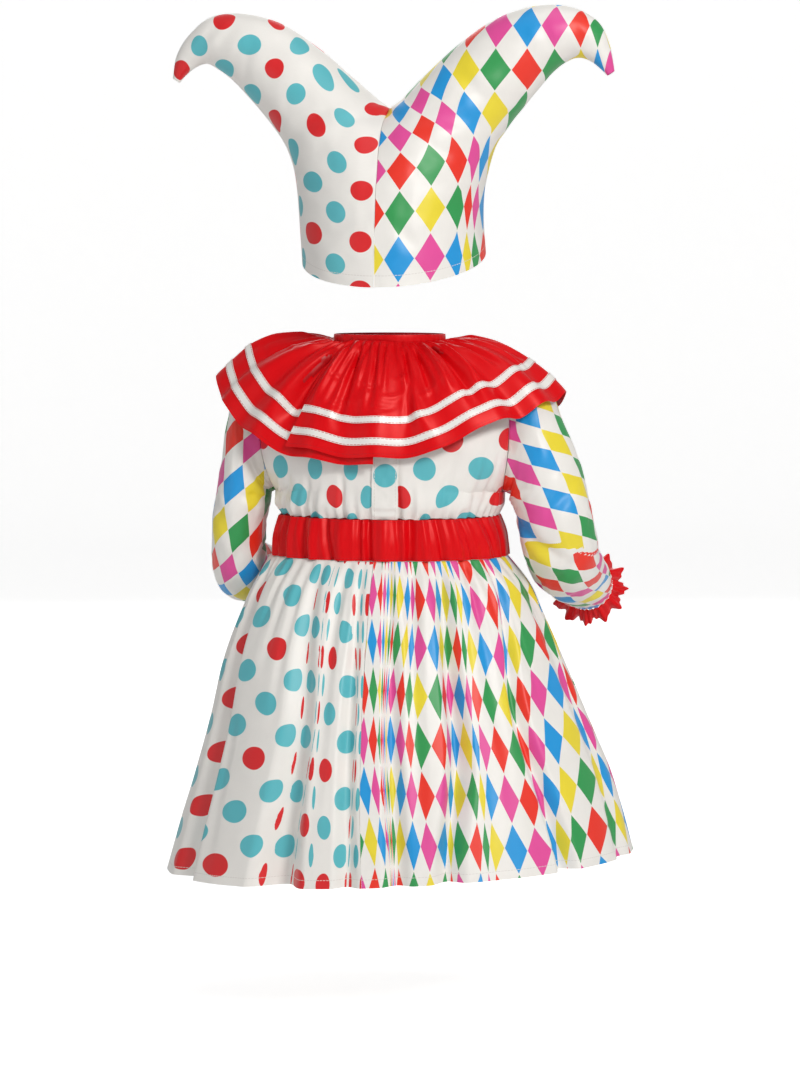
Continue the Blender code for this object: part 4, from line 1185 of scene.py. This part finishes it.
def waistSurface(angle, z):
    # an oval, puffed between its two seams, with upright folds and fine puckers along the seams
    s = waistSettings
    around = np.radians(angle)
    up = (z - s["bottomZ"]) / (s["topZ"] - s["bottomZ"])
    lift = 1.6 * np.sin(np.pi * np.clip(up, 0, 1)) - 0.4
    for top, bottom, halfWidth, rise in zip(*waistFolds.values()):
        lift = lift + 1.5 * rise * bell(turnBetween(angle, bottom + (top - bottom) * up), halfWidth)
    phase = s["gathers"] * around + 1.6 * np.sin(7 * around + 0.5)
    nearSeam = 1 - np.sin(np.pi * np.clip(up, 0, 1)) ** 0.6
    lift = lift + s["gatherDepth"] * np.cos(phase) * (0.35 + 0.9 * nearSeam)
    lift = lift + 0.35 * softNoise(angle / 3.0, up * 3.0, 31)
    x = (curveAt(waistSections, "halfWidth", z) + lift) * np.sin(around)
    y = (curveAt(waistSections, "halfDepth", z) + lift) * np.cos(around)
    return pointsOf(x, s["middleY"] + y, z)


def makeWaistband():
    s = waistSettings
    for name, middle, face in (("waistband_back", 0.0, 1), ("waistband_front", 180.0, -1)):
        angle = middle + np.linspace(-90.0, 90.0, s["columns"])
        z, angle = np.meshgrid(np.linspace(s["bottomZ"], s["topZ"], s["rows"]), angle, indexing="ij")
        outer = waistSurface(angle, z)
        away = unitOf(outer - pointsOf(0.0, s["middleY"], z))
        inner = outer - clothThickness * gridNormals(outer, away)
        keepTo = np.maximum if face > 0 else np.minimum
        for wall in (outer, inner):
            wall[..., 1] = keepTo(wall[..., 1], s["middleY"] + face * seamGap / 2)
        for row in (0, -1):
            inner[row, :, 2] = outer[row, :, 2]
        print_ = np.stack([np.radians(angle) * 0.13, z * mm], axis=-1)
        edge = np.minimum(z - s["bottomZ"], s["topZ"] - z) - 1.8
        seams = np.stack([np.radians(angle) * 0.09, edge * mm], axis=-1)
        piece = clothPiece("cloth_" + name, outer, inner, print_, seams, redCloth)
        dressed(piece, [name])


makeWaistband()


# Sleeves: wide diamond-print tubes bent at the elbow, each with a gathered red ruffle on the wrist

sleeveSettings = {
    "rows": 112,
    "columns": 112,
    "cuffRows": 16,
    "cuffColumns": 480,
    "cuffLength": 13.0,
    "cuffFlare": 8.0,
    "cuffWaves": 12,
    "cuffWaveDepth": 2.8,
    "gathers": 26,
    "gatherDepth": 1.3,
}
leftSleeve = tableOf(
    "t x y z roll bend side depth bow",
    (0, 97.0, 2.0, -76.8, 90, 0, 54.7, 32, 9),
    (1, 114.0, 3.0, -85.0, 72, 0, 50.0, 35, 5),
    (2, 120.0, 4.0, -103.0, 60, 0, 36.0, 37, 2),
    (3, 123.5, 5.0, -124.0, 42, 0, 27.0, 38, 0),
    (4, 127.0, 5.0, -144.0, 20, 0, 23.5, 38, 0),
    (5, 130.0, 3.0, -163.0, 6, 10, 22.5, 37, 0),
    (6, 132.0, -3.0, -181.0, 4, 35, 22.5, 34, 0),
    (7, 134.0, -15.0, -194.0, 2, 62, 23.0, 31, 0),
    (8, 134.0, -34.0, -202.0, 0, 76, 23.5, 29, 0),
    (9, 129.0, -57.0, -207.0, 0, 79, 23.5, 27, 0),
    (10, 122.0, -79.0, -212.0, 0, 77, 23.0, 25, 0),
    (11, 115.0, -97.0, -216.5, 0, 76, 22.5, 23, 0),
)
rightSleeve = tableOf(
    "t x y z roll bend side depth bow",
    (0, 97.0, 2.0, -76.8, 90, 0, 54.7, 32, 9),
    (1, 115.0, 3.0, -85.0, 71, 0, 50.0, 35, 5),
    (2, 125.0, 4.0, -103.0, 56, 0, 39.0, 36, 2),
    (3, 132.5, 5.0, -121.5, 36, 0, 34.5, 36, 0),
    (4, 138.0, 6.0, -138.0, 20, 0, 32.0, 35, 0),
    (5, 142.0, 6.0, -156.0, 8, 8, 32.0, 35, 0),
    (6, 144.5, 1.0, -174.0, 4, 34, 32.0, 34, 0),
    (7, 147.0, -12.0, -189.0, 2, 60, 30.0, 32, 0),
    (8, 150.0, -32.0, -198.0, 0, 72, 28.0, 30, 0),
    (9, 153.0, -56.0, -206.0, 0, 74, 26.0, 27, 0),
    (10, 155.5, -78.0, -213.0, 0, 73, 24.5, 25, 0),
    (11, 157.5, -96.0, -218.5, 0, 72, 23.0, 23, 0),
)
# Creases across the sleeve: a middle angle and place down the sleeve, how far they reach round and their slant.
# Angle 0 is the sleeve's outer side, 90 its back, 180 the side next to the body.
leftCreases = tableOf(
    "angle t reach slant halfWidth depth",
    (150, 1.9, 60, 0.010, 0.35, 2.0),
    (120, 3.2, 50, -0.012, 0.40, 1.6),
    (60, 4.4, 55, 0.014, 0.45, 1.6),
    (100, 5.6, 60, -0.010, 0.40, 2.0),
    (200, 6.2, 70, 0.006, 0.35, 3.0),
    (230, 6.9, 60, -0.004, 0.35, 2.8),
    (250, 7.6, 60, 0.006, 0.35, 2.4),
    (80, 8.4, 60, 0.008, 0.40, 1.6),
    (20, 9.6, 60, -0.008, 0.40, 1.4),
    (300, 9.0, 60, 0.008, 0.40, 1.6),
    (140, 10.0, 60, 0.006, 0.35, 1.5),
)
rightCreases = tableOf(
    "angle t reach slant halfWidth depth",
    (160, 1.8, 60, 0.010, 0.35, 2.0),
    (110, 2.9, 45, -0.012, 0.40, 1.4),
    (60, 4.0, 55, 0.016, 0.45, 1.5),
    (150, 4.7, 50, -0.012, 0.40, 1.6),
    (100, 5.55, 58, -0.012, 0.28, 3.4),
    (70, 6.15, 45, 0.010, 0.30, 2.4),
    (150, 6.6, 55, -0.010, 0.30, 2.6),
    (230, 6.8, 70, 0.004, 0.35, 3.0),
    (250, 7.6, 60, 0.006, 0.35, 2.4),
    (90, 7.6, 50, 0.010, 0.35, 1.8),
    (40, 8.8, 60, -0.010, 0.40, 1.6),
    (130, 9.4, 55, 0.010, 0.35, 1.6),
    (300, 9.0, 60, 0.008, 0.40, 1.6),
)
# How the print lies on each sleeve, seen from behind: across is the distance round it, to the right, and down
# the depth below the neck. Column and row each go up by so much for a millimetre of across and of down.
sleevePrints = {
    "left": {
        "axis": tableOf("z x", (-230, 134), (-180, 131), (-160, 128.4), (-136, 125), (-106, 119.6), (-80, 113)),
        "halfWidth": 24.0, "halfDepth": 36.0,
        "column": (0.604, 0.048, 0.0125), "row": (-4.342, -0.00802, 0.02624),
        "tuckAt": 400.0, "tuckColumns": 0.0, "tuckRows": 0.0,
    },
    "right": {
        "axis": tableOf("z x", (-230, -150), (-174, -145), (-152, -142), (-127, -136.5),
                        (-101, -129), (-80, -122)),
        "halfWidth": 32.0, "halfDepth": 35.0,
        "column": (5.164, 0.0312, -0.0329), "row": (-3.612, 0.0159, 0.02506),
        "tuckAt": 175.0, "tuckColumns": 1.3, "tuckRows": 0.35,
    },
}


def armFrame(rows, side, t):
    # the sleeve's middle, and its directions outwards, backwards and on towards the hand
    roll, bend = np.radians(curveAt(rows, "roll", t)), np.radians(curveAt(rows, "bend", t))
    middle = pointsOf(side * curveAt(rows, "x", t), curveAt(rows, "y", t), curveAt(rows, "z", t))
    nought = np.zeros_like(roll)
    outwards = pointsOf(side * np.cos(roll), nought, np.sin(roll))
    down = pointsOf(side * np.sin(roll), nought, -np.cos(roll))
    back = pointsOf(nought, nought + 1.0, nought)
    on = np.cos(bend)[..., None] * down - np.sin(bend)[..., None] * back
    behind = np.cos(bend)[..., None] * back + np.sin(bend)[..., None] * down
    return middle, outwards, behind, on


def sleeveSurface(rows, creases, side, angle, t):
    # rings along the arm, with creases pushed in and gathers at the armhole and the wrist
    s = sleeveSettings
    middle, outwards, behind, _ = armFrame(rows, side, t)
    around = np.radians(angle)
    push = np.zeros(np.broadcast(angle, t).shape)
    if creases is not None:
        for at, place, reach, slant, halfWidth, depth in zip(*creases.values()):
            run = turnBetween(angle, at)
            push += depth * bell(run, reach) * bell(t - place - slant * run, halfWidth)
            push -= 0.45 * depth * bell(run, reach) * bell(t - place - slant * run - 1.5 * halfWidth, halfWidth)
        phase = s["gathers"] * around + 1.5 * np.sin(3 * around + 0.4)
        wrist = ease((t - 9.6) / 1.4)
        push += s["gatherDepth"] * (0.5 + 0.5 * np.cos(phase)) * wrist
        push += 0.7 * (0.5 + 0.5 * np.cos(phase * 0.8)) * ease(t / 0.3) * (1 - ease(t / 1.6))
        push += 0.8 * softNoise(angle / 24.0 + 3 * side, t * 1.3, 41) * ease(t) * (1 - wrist)
        push += 0.4 * softNoise(angle / 9.0 + 3 * side, t * 3.0, 42) * ease(t) * (1 - wrist)
    ring = middle + ((curveAt(rows, "side", t) - push) * np.cos(around))[..., None] * outwards
    ring = ring + ((curveAt(rows, "depth", t) - push) * np.sin(around))[..., None] * behind
    return ring + pointsOf(side * curveAt(rows, "bow", t) * np.sin(around) ** 2, 0.0, 0.0)


def sleevePrint(name, rows, side, angle, t, plain):
    # round the upright part of the arm the print is laid by height and by the angle round an upright line, and
    # below the elbow by the ring's own angle. The right sleeve hides a strip of its print in the elbow's
    # crease.
    p = sleevePrints[name]
    right = curveAt(p["axis"], "x", plain[..., 2]) - plain[..., 0]
    turned = np.arctan2(right / p["halfWidth"], (plain[..., 1] - 3.0) / p["halfDepth"])
    ringTurn = side * np.radians(angle - 90.0)
    turned = turned + 2 * np.pi * np.round((ringTurn - turned) / (2 * np.pi))
    below = ease((t - 5.0) / 1.2)
    across = p["halfWidth"] * (turned + (ringTurn - turned) * below)
    down = -plain[..., 2] + np.maximum(-curveAt(rows, "y", t), 0.0)
    tuck = ease((down - p["tuckAt"] - 0.2 * across) / 5.0 + 0.5)
    courses = (p["column"], p["row"])
    columns = [start + byAcross * across + byDown * down for start, byAcross, byDown in courses]
    column, row = columns[0] + p["tuckColumns"] * tuck, columns[1] + p["tuckRows"] * tuck
    return column * diamondSettings["width"], -row * diamondSettings["height"]


def makeSleeve(name, rows, creases, side):
    s = sleeveSettings
    angle = np.arange(s["columns"]) * 360.0 / s["columns"] - 90.0
    t, angle = np.meshgrid(np.linspace(0, 11, s["rows"]), angle, indexing="ij")
    outer = sleeveSurface(rows, creases, side, angle, t)
    middle = armFrame(rows, side, t)[0]
    away = normalsOf(lambda u, v: sleeveSurface(rows, creases, side, u, v), angle, t, middle)
    inner = outer - clothThickness * away
    outer[0, :, 0] += side * seamGap * 1.5
    inner[0, :, 0] = outer[0, :, 0]
    plain = sleeveSurface(rows, None, side, angle, t)
    u, v = sleevePrint(name, rows, side, angle, t, plain)
    girth = np.pi * (curveAt(rows, "side", t) + curveAt(rows, "depth", t))
    length = lengthsAlong(middle, 0)
    seams = np.stack([(angle + 90.0) / 360.0 * girth * mm, (length[-1] - length - 2.0) * mm], axis=-1)
    print_ = np.stack([u, v], axis=-1)
    piece = clothPiece("cloth_sleeve_" + name, outer, inner, print_, seams, diamonds, around=True)
    dressed(piece, ["sleeve_" + name])


def cuffSurface(rows, side, angle, v):
    # it widens towards its free edge in deep waves, with smaller and uneven ones on them
    s = sleeveSettings
    middle, outwards, behind, on = armFrame(rows, side, np.full(angle.shape, 11.0))
    around = np.radians(angle)
    small = np.cos(31 * around + 2.2 * np.sin(4 * around)) * (0.5 + 0.8 * v)
    grow = s["cuffFlare"] * v + s["cuffWaveDepth"] * v * np.cos(s["cuffWaves"] * around) + 0.9 * small
    grow = grow + 0.8 * v * softNoise(angle / 11.0, v * 2.0, 51)
    across = (curveAt(rows, "side", 11.0) + grow) * np.cos(around)
    through = (curveAt(rows, "depth", 11.0) + grow) * np.sin(around)
    ring = middle + across[..., None] * outwards + through[..., None] * behind
    return ring + (seamGap + s["cuffLength"] * v)[..., None] * on


def makeCuff(name, rows, side):
    s = sleeveSettings
    angle = np.arange(s["cuffColumns"]) * 360.0 / s["cuffColumns"]
    v, angle = np.meshgrid(np.linspace(0, 1, s["cuffRows"]), angle, indexing="ij")
    outer = cuffSurface(rows, side, angle, v)
    middle, _, _, on = armFrame(rows, side, np.full(angle.shape, 11.0))
    away = normalsOf(lambda u, w: cuffSurface(rows, side, u, w), angle, v, middle)
    away[0] -= (away[0] * on[0]).sum(axis=-1, keepdims=True) * on[0]
    inner = outer - clothThickness * away
    print_ = np.stack([np.radians(angle) * 0.06, v * 0.015], axis=-1)
    seams = np.stack([print_[..., 0], ((1 - v) * s["cuffLength"] - 2.0) * mm], axis=-1)
    piece = clothPiece("cloth_cuff_ruffle_" + name, outer, inner, print_, seams, redCloth, around=True)
    dressed(piece, ["cuff_ruffle_" + name])


for name, rows, creases, side in (
    ("left", leftSleeve, leftCreases, 1),
    ("right", rightSleeve, rightCreases, -1),
):
    makeSleeve(name, rows, creases, side)
    makeCuff(name, rows, side)


# Hat: two horns, each a back and a front panel seamed along its ridges, with a turned hem on the ring

hatSettings = {
    "rows": 130,
    "columns": 66,
    "valleyRow": 6,
    "stitchAboveEdge": 8.0,
    "printSlack": 12.0,
}
hatLeft = tableOf(
    "t lowX lowZ highX highZ depth turn tilt",
    (0, 74, 66, 0, 66, 85, 90, 0.29),
    (1, 76, 97, 0, 96, 83, 92, 0.24),
    (2, 78, 122, 0, 124, 78, 97, 0.18),
    (3, 81, 141, 0, 148, 71, 106, 0.12),
    (4, 86, 155, 0, 167, 64, 122, 0.07),
    (5, 91, 164, 0, 180, 58, 142, 0.03),
    (6, 96, 171, 0, 190, 52, 180, 0.0),
    (7, 103, 180, 12, 200, 47, 180, 0.0),
    (8, 113, 192, 33, 218, 41, 180, 0.0),
    (9, 124, 204, 60, 241, 35, 180, 0.0),
    (10, 136, 216, 92, 262, 29, 180, 0.0),
    (11, 147, 224, 124, 271, 24, 180, 0.0),
    (12, 157, 229, 152, 269, 19, 180, 0.0),
    (13, 167, 226, 171, 255, 14, 180, 0.0),
    (14, 176, 219, 183, 237, 9, 180, 0.0),
    (15, 181, 213, 187, 217, 3.5, 180, 0.0),
)
hatRight = tableOf(
    "t lowX lowZ highX highZ depth turn tilt",
    (0, 81, 66, 0, 66, 85, 90, 0.29),
    (1, 79, 97, 0, 96, 83, 92, 0.24),
    (2, 80, 120, 0, 124, 78, 97, 0.18),
    (3, 84, 140, 0, 148, 71, 106, 0.12),
    (4, 88, 154, 0, 167, 64, 122, 0.07),
    (5, 92, 163, 0, 180, 58, 142, 0.03),
    (6, 97, 170, 0, 190, 52, 180, 0.0),
    (7, 104, 180, 12, 200, 47, 180, 0.0),
    (8, 114, 192, 33, 221, 41, 180, 0.0),
    (9, 125, 205, 60, 245, 35, 180, 0.0),
    (10, 138, 220, 92, 266, 29, 180, 0.0),
    (11, 150, 229, 126, 276, 24, 180, 0.0),
    (12, 160, 232, 155, 274, 19, 180, 0.0),
    (13, 170, 229, 176, 262, 14, 180, 0.0),
    (14, 179, 222, 186, 242, 9, 180, 0.0),
    (15, 184, 217, 190, 221, 3.5, 180, 0.0),
)
# Creases: from one place (x, z) to another on the panel, in millimetres from the centre seam.
hatCreases = tableOf(
    "side x1 z1 x2 z2 halfWidth depth",
    (1, 128, 262, 146, 240, 7.0, 2.6),
    (1, 143, 264, 160, 244, 6.0, 2.2),
    (1, 112, 250, 122, 214, 6.0, 1.2),
    (1, 70, 150, 28, 168, 8.0, 1.6),
    (1, 76, 132, 36, 128, 8.0, 1.4),
    (1, 20, 112, 58, 92, 8.0, 1.2),
    (1, 40, 188, 82, 172, 8.0, 1.4),
    (-1, 128, 268, 142, 236, 7.0, 2.2),
    (-1, 60, 226, 92, 190, 8.0, 1.4),
    (-1, 74, 150, 30, 166, 8.0, 1.6),
    (-1, 78, 122, 44, 112, 8.0, 1.4),
    (-1, 16, 110, 40, 88, 7.0, 1.2),
    (-1, 156, 262, 168, 238, 6.0, 1.6),
)
# The print on the hat's panels: its number by the distance from the centre seam, low down and up on the horn,
# and by the height, at the seam and out at the side.
hatDotColumns = tableOf(
    "x low high",
    (0, -0.5, -0.2), (12, 0, 0.3), (34, 1, 1.25), (56, 2, 2.2), (80, 3, 3.35), (92, 3.7, 4), (115, 4.9, 5),
    (140, 6, 6), (161, 7, 7), (178, 8, 8), (190, 8.6, 8.6), (250, 11.2, 11.2),
)
hatDotRows = tableOf(
    "z seam side",
    (41, 0.1, -0.1), (60, 1.1, 0.8), (80, 2.07, 1.7), (100, 3, 2.6), (121, 4, 3.6), (140, 5, 4.5),
    (159, 6, 5.2), (175, 7, 5.8), (190, 8, 6.45), (205, 9, 7.15), (224, 10, 8),
    (243, 11, 9), (266, 12, 10), (276, 12.5, 10.5),
    (330, 14.8, 12.8),
)
hatDiamondColumns = tableOf(
    "x low high",
    (0, -1.85, -1.7), (20, -1, -0.6), (45, 0, 0.8), (65, 1, 1.85), (79, 2, 2.4), (94, 3.1, 3), (120, 4.1, 4),
    (142, 5.1, 5), (163, 6, 6), (177, 7, 7), (187, 8, 8), (250, 10.5, 10.5),
)
hatDiamondRows = tableOf(
    "z seam side",
    (41, -0.6, -0.65), (64, 0, -0.08), (102, 1, 0.85), (137, 2, 1.77), (165, 3, 2.45), (187, 4, 3.05),
    (200, 4.6, 3.4), (221, 5.4, 4), (258, 6.5, 5), (276, 7, 5.5), (330, 8.3, 6.8),
)


def hatSurface(rows, side, face, across, t):
    # across is 0 on the horn's lower ridge, and 1 on its upper ridge or the centre seam
    full = np.radians(curveAt(rows, "turn", t))
    turn = across * full
    along = (1 - np.cos(turn)) / (1 - np.cos(full))
    x = curveAt(rows, "lowX", t) + (curveAt(rows, "highX", t) - curveAt(rows, "lowX", t)) * along
    z = curveAt(rows, "lowZ", t) + (curveAt(rows, "highZ", t) - curveAt(rows, "lowZ", t)) * along
    depth = curveAt(rows, "depth", t)
    push = np.zeros(np.broadcast(across, t).shape)
    for creaseSide, x1, z1, x2, z2, halfWidth, crease in zip(*hatCreases.values()):
        if creaseSide != side:
            continue
        run = np.array([x2 - x1, z2 - z1])
        length = np.hypot(*run)
        place = ((x - x1) * run[0] + (z - z1) * run[1]) / length**2
        off = ((x - x1) * run[1] - (z - z1) * run[0]) / length
        push += crease * bell(place - 0.5, 0.75) * bell(off, halfWidth)
        push -= 0.5 * crease * bell(place - 0.5, 0.75) * bell(off - 1.6 * halfWidth, halfWidth)
    push += 1.1 * softNoise(x / 23.0 + 9 * side, z / 21.0 + 5 * face, 61)
    push += 0.5 * softNoise(x / 8.0 + 9 * side, z / 9.0 + 5 * face, 62)
    push += 0.5 * (0.5 + 0.5 * np.cos(x / 3.1 + 1.7 * np.sin(x / 17.0))) * bell(z - 74.0, 9.0)
    share = np.sqrt(np.maximum(np.sin(turn), 0.0)) * np.minimum(depth / 40.0, 1.0)
    y = face * (depth * np.sin(turn) - push * share)
    return pointsOf(side * x, y, z - curveAt(rows, "tilt", t) * y)


def makeHatPanel(name, rows, side, face, cloth):
    s = hatSettings
    t, across = np.meshgrid(np.linspace(0, 15, s["rows"]), np.linspace(0, 1, s["columns"]), indexing="ij")
    outer = hatSurface(rows, side, face, across, t)
    middleX = side * (curveAt(rows, "lowX", t) + curveAt(rows, "highX", t)) / 2
    middleX = np.where(t < s["valleyRow"], 0.0, middleX)
    middleZ = (curveAt(rows, "lowZ", t) + curveAt(rows, "highZ", t)) / 2
    away = unitOf(outer - pointsOf(middleX, 0.0, middleZ))
    thin = np.minimum(clothThickness, 0.45 * curveAt(rows, "depth", t))[..., None]
    inner = outer - thin * gridNormals(outer, away)
    for wall in (outer, inner):
        wall[..., 0] = side * np.maximum(side * wall[..., 0], seamGap / 2)
        wall[..., 1] = face * np.maximum(face * wall[..., 1], seamGap / 2)
    # the print lies square to the centre seam, and leans up along the horn as the cloth does
    x, z = np.abs(outer[..., 0]), outer[..., 2]
    tilt = curveAt(rows, "tilt", t)
    height = z + tilt * (outer[..., 1] - np.abs(outer[..., 1]))
    # where the cloth turns away at a ridge, the print follows it round
    full = np.radians(curveAt(rows, "turn", t))
    middle = 1 / (1 - np.cos(full))
    run = [curveAt(rows, "high" + way, t) - curveAt(rows, "low" + way, t) for way in "XZ"]
    length = np.hypot(*run)
    seenAside = length * ((1 - np.cos(across * full)) * middle - middle)
    walked = lengthsAlong(outer, 1)
    facing = (np.pi / 2 / full)[:, 0]
    walked = walked - np.array([[np.interp(at, across[0], row)] for at, row in zip(facing, walked)])
    slack = s["printSlack"] * curveAt(rows, "depth", t) / rows["depth"][0]
    extra = np.sign(walked) * np.maximum(np.abs(walked) - np.abs(seenAside) - slack, 0.0) / length
    x, height = x + extra * run[0], height + extra * run[1]
    columns, heights = (hatDotColumns, hatDotRows) if cloth is dots else (hatDiamondColumns, hatDiamondRows)
    blendUp, blendOut = ease((height - 140.0) / 70.0), ease((x - 9.0) / 58.0)
    column = curveAt(columns, "low", x) * (1 - blendUp) + curveAt(columns, "high", x) * blendUp
    row = curveAt(heights, "seam", height) * (1 - blendOut) + curveAt(heights, "side", height) * blendOut
    if cloth is dots:
        print_ = np.stack([row, column], axis=-1) * dotSettings["step"]
    else:
        print_ = np.stack([column * diamondSettings["width"], -row * diamondSettings["height"]], axis=-1)
    spread = lengthsAlong(outer, 1)
    aboveEdge = z + tilt * outer[..., 1] - 66.0
    seams = np.stack([spread * mm, (aboveEdge - s["stitchAboveEdge"]) * mm], axis=-1)
    piece = clothPiece(name, outer, inner, print_, seams, cloth)
    dressed(piece, [name.replace("cloth_", "")])


for name, rows, side, face in (
    ("left_back", hatLeft, 1, 1), ("left_front", hatLeft, 1, -1),
    ("right_back", hatRight, -1, 1), ("right_front", hatRight, -1, -1),
):
    cloth, slot = (dots, "dotted_satin") if side > 0 else (diamonds, "diamond_satin")
    makeHatPanel("cloth_hat_" + name, rows, side, face, cloth)


# Floor, lights and camera

stageSettings = {
    "floorZ": -0.575,
    "floorReach": 5.0,
    "sweepRadius": 2.0,
    "wallHeight": 4.0,
    "cameraAzimuth": 189.0,
    "cameraDistance": 3.4,
    "cameraZ": 0.09,
    "target": (-0.0085, 0.0, -0.17),
    "lens": 134.6,
}


def makeFloor():
    # a pale round floor that sweeps up all round, far behind any camera: a profile turned about the z axis
    s = stageSettings
    sweep = np.linspace(0, np.pi / 2, 24)
    reach, radius = s["floorReach"], s["sweepRadius"]
    level = np.arange(reach)
    out = np.concatenate([level, reach + radius * np.sin(sweep), [reach + radius]])
    up = np.concatenate([0 * level, radius * (1 - np.cos(sweep)), [s["wallHeight"]]])
    around = np.linspace(0, 2 * np.pi, 97)
    grid = pointsOf(out[:, None] * np.cos(around), out[:, None] * np.sin(around), up[:, None] + s["floorZ"])
    mesh = bpy.data.meshes.new("floor")
    index = np.arange(grid.size // 3).reshape(grid.shape[:2])
    mesh.from_pydata(grid.reshape(-1, 3).tolist(), [], gridFaces(index).tolist())
    mesh.shade_smooth()
    material = bpy.data.materials.new("paleFloor")
    material.use_nodes = True
    shader = material.node_tree.nodes["Principled BSDF"]
    shader.inputs["Base Color"].default_value = (0.93, 0.93, 0.93, 1.0)
    shader.inputs["Roughness"].default_value = 0.9
    shader.inputs["Specular IOR Level"].default_value = 0.1
    shader.inputs["Emission Color"].default_value = (1.0, 1.0, 1.0, 1.0)
    # only the camera sees the floor's glow, so that it doesn't fill the folds with light
    seen = material.node_tree.nodes.new("ShaderNodeLightPath")
    glow = mathNode(material.node_tree, "MULTIPLY", seen.outputs["Is Camera Ray"], 0.60)
    material.node_tree.links.new(glow, shader.inputs["Emission Strength"])
    mesh.materials.append(material)
    floor = bpy.data.objects.new("floor", mesh)
    bpy.context.scene.collection.objects.link(floor)


def addLight(name, place, aim, size, power, colour=(1.0, 1.0, 1.0)):
    light = bpy.data.lights.new(name, "AREA")
    light.shape = "RECTANGLE"
    light.size, light.size_y = size
    light.energy = power
    light.color = colour
    lamp = bpy.data.objects.new(name, light)
    lamp.location = place
    direction = np.array(aim) - np.array(place)
    lamp.rotation_euler = mathutils.Vector(direction).to_track_quat("-Z", "Y").to_euler()
    bpy.context.scene.collection.objects.link(lamp)


def makeStage():
    s = stageSettings
    makeFloor()
    addLight("keySoftbox", (-2.2, 2.9, 1.9), (0.0, 0.0, -0.12), (0.9, 0.9), 84.0, (1.0, 0.985, 0.96))
    addLight("fillSoftbox", (2.6, 2.6, 0.5), (0.0, 0.0, -0.15), (1.6, 2.0), 9.0, (0.97, 0.985, 1.0))
    addLight("frontSoftbox", (0.6, -3.0, 1.2), (0.0, 0.0, -0.1), (2.0, 2.0), 26.0)
    addLight("topSoftbox", (-0.4, 0.4, 2.8), (0.0, 0.0, 0.0), (1.4, 1.4), 12.0)
    world = bpy.data.worlds.new("studio")
    world.use_nodes = True
    world.node_tree.nodes["Background"].inputs["Color"].default_value = (1.0, 1.0, 1.0, 1.0)
    world.node_tree.nodes["Background"].inputs["Strength"].default_value = 0.30
    bpy.context.scene.world = world
    camera = bpy.data.objects.new("camera", bpy.data.cameras.new("camera"))
    camera.data.lens = s["lens"]
    camera.data.sensor_width = 36.0
    target = np.array(s["target"])
    rise = s["cameraZ"] - target[2]
    level = np.sqrt(s["cameraDistance"] ** 2 - rise**2)
    azimuth = np.radians(s["cameraAzimuth"])
    place = target + np.array([level * np.sin(azimuth), -level * np.cos(azimuth), rise])
    camera.location = place
    camera.rotation_euler = mathutils.Vector(target - place).to_track_quat("-Z", "Y").to_euler()
    bpy.context.scene.collection.objects.link(camera)
    bpy.context.scene.camera = camera
    bpy.context.scene.view_settings.view_transform = "Standard"
    print("stage ready")


makeStage()
